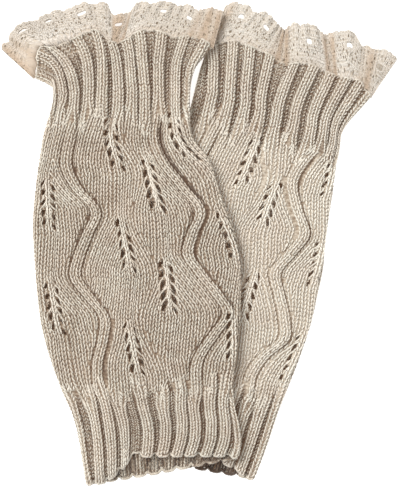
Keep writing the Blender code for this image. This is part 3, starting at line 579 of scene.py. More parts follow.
def strands(name, centres, normals, wide, high, tints, material, sides=4):
    # Each strand is a tapered length of yarn on five centre points.
    count = len(centres)
    tangent = np.gradient(centres, axis=1)
    tangent /= np.linalg.norm(tangent, axis=2, keepdims=True) + 1e-9
    side = np.cross(tangent, normals)
    side /= np.linalg.norm(side, axis=2, keepdims=True) + 1e-9
    up = np.cross(side, tangent)
    taper = np.array([0.80, 1.0, 0.80])[None, :, None]
    wide = np.broadcast_to(np.reshape(wide, (-1, 1, 1)), (count, 1, 1)) * taper
    high = np.broadcast_to(np.reshape(high, (-1, 1, 1)), (count, 1, 1)) * taper
    size = strandPoints(sides)
    points = np.empty((count, size, 3))
    points[:, 0], points[:, -1] = centres[:, 0], centres[:, 4]
    for i in range(3):
        for j in range(sides):
            turn = 2 * pi * j / sides - pi / 2
            points[:, 1 + sides * i + j] = (centres[:, i + 1] + side[:, i + 1] * wide[:, i] * np.cos(turn)
                                            + up[:, i + 1] * high[:, i] * np.sin(turn))
    quads, triangles = [], []
    for j in range(sides):
        k = (j + 1) % sides
        triangles += [(0, 1 + k, 1 + j), (size - 1, 1 + 2 * sides + j, 1 + 2 * sides + k)]
        for i in range(2):
            near = 1 + sides * i
            quads.append((near + j, near + k, near + sides + k, near + sides + j))
    offset = size * np.arange(count)[:, None, None]
    piece = meshPiece(name, points.reshape(-1, 3), (np.array(quads)[None] + offset).reshape(-1, 4),
                      (np.array(triangles)[None] + offset).reshape(-1, 3), material)
    local = np.zeros((size, 2))
    for i in range(3):
        for j in range(sides):
            local[1 + sides * i + j] = ((i + 1) / 4, j / sides)
    local[0], local[-1] = (0.0, 0.5), (1.0, 0.5)
    addMap(piece, "yarn", np.tile(local, (count, 1)))
    cells = int(np.ceil(np.sqrt(count)))
    number = np.arange(count)
    corner = np.stack([number % cells, number // cells], axis=1)[:, None, :] + 0.1
    addMap(piece, "OFBake", ((corner + local[None] * 0.8) / cells).reshape(-1, 2))
    # Each strand's tone, which carries painted highlight and painted shade where they are set.
    addShare(piece, "tint", np.repeat(tints, size))
    return piece


def onCuff(cuff, across, down, height, where="front"):
    # Points over the cuff's face, and the way out from it there.
    if where == "front":
        share, base, out = across / 2, cuff.relief(across, down) + height, 0.5
        down = down + cuff.hemEnds(across, down)
    elif where == "back":
        share, base, out = 1 - across / 2, height - knit["proud"] - 0.1, 0.5
    else:
        share, out = 1 - across / 2, -0.5
        base = -layout["knitWall"] - height - knit["rearRidge"] * rearRibs(across)
    points = cuff.place(down, share, base)
    normals = cuff.place(down, share, base + out) - points
    return points, normals / np.linalg.norm(normals, axis=-1, keepdims=True)


def eyelets(cuff):                               # charted: two slanting rows beside each spine
    found = []
    for leaf, (across, first) in enumerate(leaves):
        for number in range(-1, 4):
            middle = first + number * layout["leafPeriod"]
            if not layout["leafFrom"] + 0.02 < middle < layout["leafTo"] - 0.06:
                continue
            for row in range(knit["eyeletRows"]):
                for sign in (-1, 1):
                    step = row - (knit["eyeletRows"] - 1) / 2 + 0.25 * sign * cuff.lean
                    down = middle + step * knit["eyeletStep"] / cuff.length
                    off = sign * knit["eyeletOff"] - 0.2 * cuff.lean * step
                    size = (1.08 if sign * cuff.lean < 0 else 0.98) - 0.07 * abs(step - 0.6)
                    if (leaf, number) in cuff.wideLeaves:
                        size = size * 1.25
                    found.append((float(cuff.spine(leaf, down)), down, off, sign, size))
    found = np.array(found)
    across = found[:, 0] + found[:, 2] / cuff.metric(found[:, 0], found[:, 1])
    return np.column_stack([across, found[:, 1], found[:, 3], found[:, 4]])


def eyeletPlace(holes, cuff, across, down):      # how far into the nearest eyelet's oval, and which it is
    metric = cuff.metric(across, down)
    dx = (across[..., None] - holes[:, 0]) * metric[..., None]
    dy = (down[..., None] - holes[:, 1]) * cuff.length
    slanted = (dx + dy * knit["eyeletSlant"] * -holes[:, 2]) / (knit["eyeletWide"] * holes[:, 3])
    far = np.hypot(slanted, dy / (knit["eyeletLong"] * holes[:, 3]))
    return far.min(axis=-1), far.argmin(axis=-1)


def openEyelets(holes, cuff, across, down):      # pushes points out of the ovals
    least, nearest = eyeletPlace(holes, cuff, across, down)
    reach = knit["eyeletPush"]
    hole = holes[nearest]
    safe = np.maximum(least, 0.05)
    pushed = np.where(least < reach, 1.0 + least * (reach - 1.0) / reach, least) / safe
    move = np.where(least < reach, pushed - 1.0, 0.0)
    return across + (across - hole[..., 0]) * move, down + (down - hole[..., 1]) * move


def rowPlaces(cuff):
    rows = [0.4 * knit["ribCourse"] / cuff.length]
    while rows[-1] < 1.0:
        panel = float(cuff.leafPanel(rows[-1]))
        rows.append(rows[-1] + (knit["ribCourse"] * (1 - panel) + knit["leafCourse"] * panel) / cuff.length)
    return np.array(rows[:-1])


def runsWhere(inside):                           # stretches of rows where a column of stitches exists
    return [run for run in np.split(np.arange(len(inside)), np.flatnonzero(np.diff(inside.astype(int))) + 1)
            if len(run) > 2 and inside[run[0]]]


def halfPanel(cuff, rows, inner, outer):
    # Columns keep one pitch: they follow the outer side as it moves away and end at it as it comes
    # back. New ones are born beside the vein.
    middle = (inner + outer) / 2
    metric = cuff.metric(middle, rows)
    sign = np.sign(outer.mean() - inner.mean())
    reach = np.maximum((outer - inner) * sign, 0.0) * metric
    shift = np.append(0.0, np.cumsum(np.maximum(np.diff(reach), 0.0)))
    wale, found = knit["wale"], []
    for number in range(-int(shift[-1] / wale) - 2, int(reach.max() / wale) + 2):
        place = (number + 0.5) * wale + shift
        spot = inner + sign * place / metric
        first, last = cuff.turns(spot)
        early = knit["turnEarly"] + knit["turnStart"] * ((number * 0.618) % 1.0)
        inside = (place > 0) & (place < reach - 0.1 * wale) & (rows >= first - early) & (rows <= last + early)
        near = np.where(place < wale, 0.0, place - wale / 2)
        far = np.where(place > reach - wale, reach, place + wale / 2)
        for run in runsWhere(inside):
            centre, spread = (near + far)[run] / 2, (far - near)[run] / wale
            found.append((inner[run] + sign * centre / metric[run], rows[run], np.maximum(spread, 0.45), 0))
    return found


def allWales(cuff):
    wale = knit["wale"]
    rows = rowPlaces(cuff)
    spare = knit["turnUneven"] + knit["turnFine"]
    early = knit["turnEarly"] + knit["turnStart"]
    top, hem = rows[rows < layout["leafFrom"] + spare], rows[rows > layout["leafTo"] - spare]
    leafy = rows[(rows >= layout["leafFrom"] - spare - early) & (rows <= layout["leafTo"] + spare + early)]
    knits, purls, panel = [], [], panelWales(cuff, leafy)
    for rows, end in ((top, 0), (hem, -1)):
        joins = np.array([(place[end], run[end]) for place, run, _, _ in panel
                          if abs(run[end] - cuff.turns(place[end])[end]) < 0.012 + early])
        crowns = cuff.crowns(rows)
        metric = cuff.metric(crowns, rows[:, None])
        between = np.diff(crowns, axis=1) * (metric[:, 1:] + metric[:, :-1]) / 2
        for rib in range(crowns.shape[1]):
            for side in (-1, 1):
                closing = cuff.closing(rows, crowns[:, rib])
                if rib + side in (-1, crowns.shape[1]):
                    room = np.full(len(rows), wale)
                else:
                    room = np.minimum(wale * (1 + 0.5 * closing),
                                      between[:, rib if side > 0 else rib - 1] * ribShare(closing))
                place = crowns[:, rib] + side * room / 2 / metric[:, rib]
                turn = cuff.turns(place)[end]
                exists = rows < turn if end == 0 else rows > turn
                place, run, room = place[exists], rows[exists], room[exists]
                if len(run) < 4:
                    continue
                last = -1 if end == 0 else 0
                far = np.abs(joins[:, 0] - place[last]) if len(joins) else np.array([1.0])
                if far.min() * metric[last, rib] < 2.6:   # each rib runs on into the nearest column
                    reach = knit["turnReach"] * 0.7
                    blend = (ease(run, run[last] - reach, run[last]) if end == 0
                             else 1 - ease(run, run[last], run[last] + reach))
                    place = place + (joins[far.argmin(), 0] - place[last]) * blend
                # Painted highlight: rib columns are coloured paler.
                knits.append((place, run, room / wale, knit["ribHighlight"]))
        for rib in range(crowns.shape[1] - 1):
            centre = (crowns[:, rib] + crowns[:, rib + 1]) / 2
            closing = cuff.closing(rows, centre)
            turn = cuff.turns(centre)[end]
            exists = rows < turn if end == 0 else rows > turn
            free = between[:, rib] - 2 * np.minimum(wale * (1 + 0.5 * closing),
                                                    between[:, rib] * ribShare(closing))
            local = cuff.metric(centre, rows)
            for k in range(-4, 5):
                inside = (free / 2 > abs(k) * knit["purlStep"] - 0.35) & (free > 0.3) & exists
                for run in runsWhere(inside):
                    purls.append((centre[run] + k * knit["purlStep"] / local[run], rows[run], k % 2))
    return panel + knits, purls


def panelWales(cuff, leafy):                     # spines, travelling ribs and the columns between them
    wale, knits = knit["wale"], []
    metric = cuff.metric(np.full(len(leafy), 0.5), leafy)
    spines = [cuff.spine(leaf, leafy) for leaf in range(4)]
    bands = [cuff.band(which, leafy) for which in (1, 2)]
    # Painted highlight: the travelling ribs' columns are coloured a little paler.
    lines = [(centre + k * wale / 2 / metric, np.full(len(leafy), knit["bandHighlight"]))
             for centre in bands for k in (-1, 1)]
    for leaf, centre in enumerate(spines):       # painted highlight: a spine is coloured paler within its leaf, where it stands highest
        part = np.cos(2 * pi * (leafy - leaves[leaf][1]) / layout["leafPeriod"])
        lines.append((centre, knit["spineHighlight"] * np.clip(0.4 + part, 0.0, 1.0)))
    for centre, tint in lines:
        first, last = cuff.turns(centre)
        inside = (leafy >= first - knit["turnEarly"]) & (leafy <= last + knit["turnEarly"])
        knits.append((centre[inside], leafy[inside], np.ones(inside.sum()), tint[inside]))
    side, edge = wale / 2 / metric, (wale + 0.3) / metric
    phase = 2 * pi * (leafy - leaves[1][1]) / layout["leafPeriod"]
    middle = (spines[1] + spines[2]) / 2 + 0.035 * np.sin(phase)
    fold = np.full(len(leafy), -0.04)
    for inner, outer in (
            (spines[0] - side, fold), (spines[0] + side, bands[0] - edge),
            (spines[1] - side, bands[0] + edge), (spines[1] + side, middle), (spines[2] - side, middle),
            (spines[2] + side, bands[1] - edge), (spines[3] - side, bands[1] + edge),
            (spines[3] + side, 1 - fold)):
        knits += halfPanel(cuff, leafy, inner, outer)
    return knits


def stitchLegs(cuff, wales, holes, random):
    # Every stitch is two slanting legs that meet at its foot.
    steps = np.array([0.0, 0.25, 0.5, 0.75, 1.0])
    across, down, widths, highlightTint = [], [], [], []
    for place, rows, spread, tint in wales:
        if len(rows) < 3:
            continue
        slope, course = np.gradient(place, rows), np.gradient(rows)
        metric = cuff.metric(place, rows)
        jitter = random.normal(0, knit["wobble"], (len(rows), 2))
        stagger = random.uniform(-0.5, 0.5)
        for sign in (-1, 1):
            chain = np.any(np.asarray(tint) > 0)
            kind = "chain" if chain else "leg"
            length, slant = knit[kind + "Long"], knit[kind + "Slant"]
            q = (rows[:, None] + course[:, None] * (0.55 + stagger - length * steps)[None, :]
                 + jitter[:, 1:] * 0.8 / cuff.length)
            lean = 0.33 - slant + slant * np.sin(steps * pi / 2) ** 0.9
            off = sign * knit["wale"] * spread[:, None] * lean[None, :]
            across.append(place[:, None] + slope[:, None] * (q - rows[:, None])
                          + (off + jitter[:, :1] * 0.6) / metric[:, None])
            down.append(q)
            widths.append(knit["yarnWide"] * np.clip(spread, 0.6, 1.25) ** 0.5)
            highlightTint.append(np.broadcast_to(tint, len(rows)))
    across, down, widths, highlightTint = (np.concatenate(values) for values in (across, down, widths, highlightTint))
    if holes is not None:
        least, _ = eyeletPlace(holes, cuff, across[:, 2], down[:, 2])
        keep = least > 0.42
        across, down = openEyelets(holes, cuff, across[keep], down[keep])
        widths, highlightTint = widths[keep], highlightTint[keep]
    arch = knit["proud"] - knit["yarnHigh"] - knit["legArch"] * (2 * steps - 1) ** 2 + 0.12 * (1 - 2 * steps)
    return across, down, np.broadcast_to(arch, across.shape), widths, highlightTint


def paintedShadeTint(cuff, across, down):              # painted shade: yarn is coloured darker in hollows and at the side folds, less so near the rim; a cuff's paleness shifts it
    hollow = np.clip(0.2 - cuff.relief(across, down), 0.0, knit["deepest"])
    hollow = hollow * (1 - knit["rimShadeCut"] * (1 - ease(down, 0.0, knit["rimReach"])))
    atSide = 1 - ease(np.minimum(across, 1 - across), 0.0, knit["sideReach"])
    pale = knit["ribPaleness"] + (1 - knit["ribPaleness"]) * cuff.leafPanel(down)
    return cuff.paleness * pale - knit["paintedShadeTint"] * hollow - knit["sideShadeTint"] * atSide


def knitFace(cuff, random):
    knits, purls = allWales(cuff)
    holes = eyelets(cuff)
    across, down, height, widths, highlightTint = stitchLegs(cuff, knits, holes, random)
    points, normals = onCuff(cuff, across, down, height)
    # Each leg's own tone, with painted highlight on raised columns and painted shade in hollows.
    tints = random.normal(0, 0.8, len(points)) + highlightTint + paintedShadeTint(cuff, across[:, 2], down[:, 2])
    half = len(points) // 2
    order = np.argsort(down[:, 2], kind="stable")
    pieces = []
    for part, chosen in (("upper", order[:half]), ("lower", order[half:])):
        pieces.append(strands(f"{cuff.side}_knit_{part}", points[chosen], normals[chosen],
                              widths[chosen], knit["yarnHigh"], tints[chosen], woolYarn, 5))
    bumps = [[], [], []]
    steps = np.linspace(-1.0, 1.0, 5)
    for place, rows, odd in purls:
        metric, course = cuff.metric(place, rows)[:, None], np.gradient(rows)[:, None]
        bumps[0].append(place[:, None] + steps[None, :] * 0.72 / metric)
        slant = knit["purlSlant"] * steps[None, :] * (1 if odd else -1)
        bumps[1].append(rows[:, None] + course * (slant + 0.12 * random.normal(0, 1, (len(rows), 1))))
        bumps[2].append(np.broadcast_to(-0.15 - 0.55 * steps ** 2, bumps[0][-1].shape))
    across, down, height = (np.concatenate(values) for values in bumps)
    points, normals = onCuff(cuff, across, down, height)
    # Purl bumps: their own tone, with painted shade in hollows.
    pieces.append(strands(f"{cuff.side}_knit_purl", points, normals, knit["purlWide"], 0.42,
                          random.normal(0.2, 1.0, len(points)) + paintedShadeTint(cuff, across[:, 2], down[:, 2]),
                          woolYarn))
    return pieces, holes


def knitBack(cuff, random):                      # the rear face: ribs at both ends, plain knitting between
    rows = rowPlaces(cuff)
    wales = []
    for number in range(knit["backWales"]):
        place = np.full(len(rows), (number + 0.5) / knit["backWales"])
        spread = cuff.width(rows) / knit["backWales"] / knit["wale"]
        ribbed = (rows < layout["leafFrom"]) | (rows > layout["leafTo"])
        for run in runsWhere(~ribbed if number % 3 == 2 else np.ones(len(rows), bool)):
            wales.append((place[run], rows[run], spread[run], 0))
    across, down, height, widths, _ = stitchLegs(cuff, wales, None, random)
    points, normals = onCuff(cuff, across, down, height, "back")
    return strands(f"{cuff.side}_knit_under", points, normals, widths, knit["yarnHigh"] * 0.8,
                   random.normal(0, 1.0, len(points)), woolYarn, 3)


def knitGround(cuff, holes):
    # The tube of cloth under the stitches: front and fold to fold below, eyelets open.
    columns, rows, back = knit["shellAcross"], knit["shellDown"], knit["shellBack"]
    down = np.linspace(0.0, 1.0, rows + 1)
    front = np.linspace(0, 1, columns + 1)
    under = np.linspace(1, 0, back + 1)[1:-1]
    acrossGrid = np.broadcast_to(np.concatenate([front, under]), (rows + 1, columns + back))
    downGrid = np.broadcast_to(down[:, None], acrossGrid.shape).copy()
    scallop = (0.5 + 0.5 * rearRibs(under)) ** knit["scallopRound"]
    lower = scallop * knit["rearRise"] - knit["rearFall"]
    downGrid[:, columns + 1:] += ease(down, 0.95, 1.0)[:, None] * lower / cuff.length
    ends = cuff.hemEnds(acrossGrid[:, :columns + 1], downGrid[:, :columns + 1])
    share = np.concatenate([front / 2, 1 - under / 2])
    relief = np.zeros(acrossGrid.shape)
    relief[:, :columns + 1] = cuff.relief(acrossGrid[:, :columns + 1], downGrid[:, :columns + 1])
    downGrid[:, :columns + 1] += ends
    # Painted shade for the ground: darker in hollows, less near the rim, shifted by the cuff's paleness.
    hollow = np.clip(-relief, 0.0, knit["deepest"])
    hollow = hollow * (1 - knit["rimShadeCut"] * (1 - ease(downGrid, 0.0, knit["rimReach"])))
    hollow = hollow - knit["groundPaleness"] * cuff.paleness * cuff.leafPanel(downGrid)
    inset = ease(np.minimum(front, 1 - front), 0.0, knit["shellFoldReach"])
    relief[:, :columns + 1] -= knit["shellFold"] + (knit["shellDepth"] - knit["shellFold"]) * inset
    relief[:, columns + 1:] = -knit["shellFold"]
    points = cuff.place(downGrid, np.broadcast_to(share, acrossGrid.shape), relief)
    ring = columns + back
    index = np.arange((rows + 1) * ring).reshape(rows + 1, ring)
    a, b = index[:-1], np.roll(index, -1, axis=1)[:-1]
    c, d = np.roll(index, -1, axis=1)[1:], index[1:]
    quads = np.stack([a, d, c, b], axis=-1)
    middleAcross = (front[:-1] + front[1:]) / 2
    middleDown = (down[:-1] + down[1:]) / 2
    gridA, gridD = np.meshgrid(middleAcross, middleDown)
    least, _ = eyeletPlace(holes, cuff, gridA, gridD)
    keep = np.ones(quads.shape[:2], bool)
    keep[:, :columns] = least > 1.0
    piece = meshPiece(f"{cuff.side}_knit_ground", points.reshape(-1, 3), quads[keep], [], woolGround)
    addShare(piece, "hollow", hollow.ravel())
    width = cuff.width(downGrid)
    flat = np.stack([share * 2 * width * mm, downGrid * cuff.length * mm], axis=-1)
    addMap(piece, "cloth", flat.reshape(-1, 2))
    return piece


def hemInside(cuff, random):                     # what shows of the rear hem's inner side
    course = knit["ribCourse"] / cuff.length
    wales = []
    for place in np.arange(0.03, 0.98, knit["wale"] / cuff.width(1.0)):
        scallop = (0.5 + 0.5 * rearRibs(place)) ** knit["scallopRound"]
        lower = scallop * knit["insideRise"] - knit["insideFall"]
        rows = np.arange(1.0 + lower / cuff.length, 0.90, -course)[::-1]
        wales.append((np.full(len(rows), place), rows, np.ones(len(rows)), 0))
    across, down, height, widths, _ = stitchLegs(cuff, wales, None, random)
    points, normals = onCuff(cuff, across, down, height + 0.15, "inside")
    # Painted shade: the inside is coloured darker overall, in the valleys between its ribs and where it lies
    # in shadow.
    valley = (0.5 - 0.5 * rearRibs(across[:, 2])) ** knit["valleyNarrow"]
    shaded = -knit["insidePaintedShade"] - knit["valleyPaintedShade"] * valley - cuff.insideShade(across[:, 2])
    return strands(f"{cuff.side}_hem_inside", points, normals, widths, knit["yarnHigh"],
                   random.normal(0, 1.0, len(points)) + shaded, woolYarn)


def edgeLoops(cuff, name, ends, random):         # the cast-on and cast-off edges, a row of small loops
    pieces = []
    steps = np.linspace(-0.6, 0.6, 5)
    for where in ("front", "inside") if ends else ("front", "back"):
        wale = knit["wale"] / cuff.width(ends) * (0.95 if ends else 0.75)
        place = np.arange(0.01, 0.99, wale * 0.5)
        across = place[:, None] + steps[None, :] * wale
        if where == "front":                     # the cloth itself is rounded here
            scallop = np.zeros(across.shape)
        else:
            scallop = 0.5 + 0.5 * rearRibs(across)
        slant = 0.9 * steps[None, :] * np.where(np.arange(len(place)) % 2, 1, -1)[:, None]
        rise, fall = {"inside": (3.6, 2.2), "front": (0.0, 0.2), "back": (2.4, 1.2)}[where]
        bend = 0.3 * np.cos(steps * pi / 1.2)[None, :]
        over = (scallop ** knit["scallopRound"] * rise - fall + slant + bend) / cuff.length
        down = 1.0 + over if ends else 0.0 - over * 0.4
        sunk = {"front": -0.9 if ends else -0.35, "inside": 0.0, "back": -0.3}[where]
        points, normals = onCuff(cuff, across, down, np.full(across.shape, sunk), where)
        thick = knit["edgeYarn"] if ends else 0.55
        # Painted shade: the inner edge loops are coloured darker.
        shaded = knit["insideEdgePaintedShade"] + cuff.insideShade(place) if where == "inside" else 0.0
        pieces.append(strands(f"{cuff.side}_{name}_{where}", points, normals,
                              thick, thick, random.normal(-0.4, 1.0, len(points)) - shaded, woolYarn))
    return pieces


# One repeat of the lace, from the sewn edge to the scallops: o is open, s a small slit.
laceChart = (
    "........................",
    "s......s........s.......",
    "...s.......ss.......s...",
    "........................",
    "s........s....s.........",
    "......s.s......s.s......",
    "...s......s..s......s...",
    ".....s...s....s...s.....",
    "..s...s..........s...s..",
    ".........oooooo.........",
    "s....s...oooooo...s.....",
    "........................",
    "......s..........s......",
    "..s.......s..s.......s..",
    "........................",
    "........................",
)
lace = {
    "repeats": 8, "wall": 0.6, "scallop": 0.8, "picots": 38, "ripple": 0.8, "ripples": 19,
    "tuck": 1.8, "tuckUneven": 0.9, "thread": 0.34, "threadHigh": 0.32, "cord": 0.40, "cordPieces": 14,
    "slitDeep": 0.75, "backSpread": 1.007, "holeRow": 10.0, "holeWide": 3.9, "holeHigh": 1.30,
    "shutHoleShade": 0.45, "topTan": 0.10, "threadTint": 3.2,
}


def laceEnds(cuff, front):                       # the sewn line and the outer edge of one strip
    share = np.linspace(0, 1, 241)
    girth = share / 2 if front else 1 - share / 2
    start = cuff.place(np.zeros(len(share)), girth, np.full(len(share), -layout["knitWall"] / 2))
    runs = np.gradient(start[:, :2], axis=0)
    runs /= np.linalg.norm(runs, axis=1, keepdims=True)
    atFold = 1 - ease(np.minimum(share, 1 - share), 0.0, layout["foldReach"])
    gap = layout["rimGap"] + (layout["knitWall"] / 2 + 2 * layout["seamGap"]) * atFold
    start[:, 0] -= runs[:, 1] * gap
    start[:, 1] += runs[:, 0] * gap
    knots = cuff.lace[:, 0]
    edge = np.stack([np.interp(share, knots, cuff.lace[:, i]) for i in (1, 2, 3)], axis=-1)
    for _ in range(2):                           # round the corners a little
        edge[1:-1] = edge[1:-1] * 0.5 + (edge[:-2] + edge[2:]) * 0.25
    heading = edge[:, :2] - start[:, :2]
    heading = heading / np.linalg.norm(heading, axis=1, keepdims=True)
    outer = edge[:, :2] - heading * (0.0 if front else layout["backInset"])
    lift = cover(outer[:, 0], outer[:, 1]) if cuff.onTop else 0.0
    rimLift = cover(start[:, 0], start[:, 1]) if cuff.onTop else 0.0
    height = np.maximum(edge[:, 2], 0.0)
    backZ = layout["laceWall"] / 2 + lift + height * layout["backHeight"]
    parted = layout["laceWall"] + layout["faceGap"]
    if front:
        start[:, 2] = np.maximum(start[:, 2], layout["foldRadius"] + rimLift + parted / 2)
        outerZ = (lift + height + layout["laceFrontZ"]) * (1 - atFold) + (backZ + parted) * atFold
    else:
        lowered = np.minimum(start[:, 2], layout["foldRadius"] + rimLift - parted / 2)
        start[:, 2] += (lowered - start[:, 2]) * atFold
        outerZ = backZ
    return share, start, np.column_stack([outer, outerZ]), height


def laceSurface(cuff, front, chartU, chartV):    # layout points for places on the chart, and how much painted shade its folds take
    holes = np.array(cuff.holes)
    repeats = lace["repeats"]
    middles = np.concatenate([[0.0], (np.arange(repeats) + 0.5) / repeats, [1.0]])
    u = np.interp(chartU, middles, np.concatenate([[0.0], holes[:, 0], [1.0]]))
    bend = np.log(holes[:, 1]) / np.log(lace["holeRow"] / len(laceChart))
    v = np.clip(chartV, 1e-6, 1.0) ** np.interp(u, holes[:, 0], bend)
    share, start, outer, height = laceEnds(cuff, front)

    def read(values):
        return np.stack([np.interp(u, share, values[:, i]) for i in range(values.shape[1])], axis=-1)

    first, last = read(start), read(outer)
    if not front:                                # the back strip's holes lie under the front's
        _, frontStart, frontOuter, _ = laceEnds(cuff, True)
        near = ease(v, 0.0, 0.4)[..., None]
        centre = np.array([layout["centreX"], layout["centreY"]])
        alike = first[..., :2] * (1 - near) + read(frontStart)[..., :2] * near
        lastAlike = read(frontOuter)[..., :2]
        first = np.concatenate([alike, first[..., 2:]], axis=-1)
        last = np.concatenate([lastAlike, last[..., 2:]], axis=-1)
    run = last - first
    length = np.linalg.norm(run, axis=-1, keepdims=True)
    scallop = lace["scallop"] * np.abs(np.sin(pi * chartU * lace["picots"]))
    if not front:
        scallop = scallop - 1.2
    uneven = lace["tuckUneven"] * np.sin(2 * pi * 13 * u + 1.0) * np.sin(2 * pi * 29 * u)
    tuck = (uneven - lace["tuck"]) * (1 - ease(v, 0.0, 0.25)) * (1 if front else 0.4)
    points = first + run * v[..., None] + run / length * (scallop * ease(v, 0.7, 1.0) + tuck)[..., None]
    if not front:
        spread = 1 + (lace["backSpread"] - 1) * ease(v, 0.1, 0.5)[..., None]
        points[..., :2] = centre + (points[..., :2] - centre) * spread
    body = np.interp(np.minimum(u, 1 - u), (0, 0.08), (0, 1)) * ease(v, 0.05, 1.0)
    wave = np.sin(2 * pi * u * lace["ripples"] + 2.5 * np.sin(5 * u))
    points[..., 2] += lace["ripple"] * body * wave * (1 if front else 0.4) + (0.5 * body if front else 0.0)
    # Painted shade: low, folded parts of the strip and the band by the sewn edge are coloured tan; the upper
    # cuff's lace takes a little more all over.
    low = 1 - ease(np.interp(u, share, height), 0.6, 2.0)
    fold = low * (0.75 + 0.35 * wave) * (1 - 0.5 * ease(v, 0.75, 1.0)) + 0.30 * (1 - ease(v, 0.0, 0.35))
    fold = np.clip(fold + (lace["topTan"] if cuff.onTop else 0.0), 0, 1)
    return points, fold


def laceGrid(cuff):                              # corners of the chart's cells, which are open, which slits
    repeats, wide, high = lace["repeats"], len(laceChart[0]), len(laceChart)
    u, v = np.meshgrid(np.arange(repeats * wide + 1), np.arange(high + 1))
    place = np.stack([u / wide, v / high], axis=-1).astype(float)
    marks = np.array([list(line * repeats) for line in laceChart])
    state = np.repeat([hole[2] for hole in cuff.holes], wide)[None, :]
    openCells = (marks == "o") & (state == 1)
    uneven = 0.30 + 0.70 * np.abs(np.sin(u[:-1, :-1] * 12.9 + v[:-1, :-1] * 7.3))
    # Painted shade: slits and pressed-shut holes are marked for a dark brown colour on closed cells.
    slitCells = (marks == "s") * uneven + ((marks == "o") & (state == 0)) * lace["shutHoleShade"]
    # round the large holes: each corner on an edge moves towards its neighbours on the edge
    cell = np.pad(openCells, 1)
    around = np.stack([cell[:-1, :-1], cell[:-1, 1:], cell[1:, :-1], cell[1:, 1:]])
    onEdge = around.any(axis=0) & ~around.all(axis=0)
    shaped = place.copy()
    for _ in range(2):
        total, weight = np.zeros_like(shaped), np.zeros(onEdge.shape)
        for dy, dx in ((0, 1), (0, -1), (1, 0), (-1, 0)):
            also = np.roll(onEdge, (dy, dx), axis=(0, 1))
            total += np.roll(shaped, (dy, dx), axis=(0, 1)) * also[..., None]
            weight += also
        move = onEdge & (weight > 0)
        shaped[move] = shaped[move] * 0.5 + (total[move] / weight[move][:, None]) * 0.5
    shaped[0, :, 1], shaped[-1, :, 1] = 0.0, 1.0
    shaped[:, 0, 0], shaped[:, -1, 0] = 0.0, repeats
    return shaped, openCells, slitCells


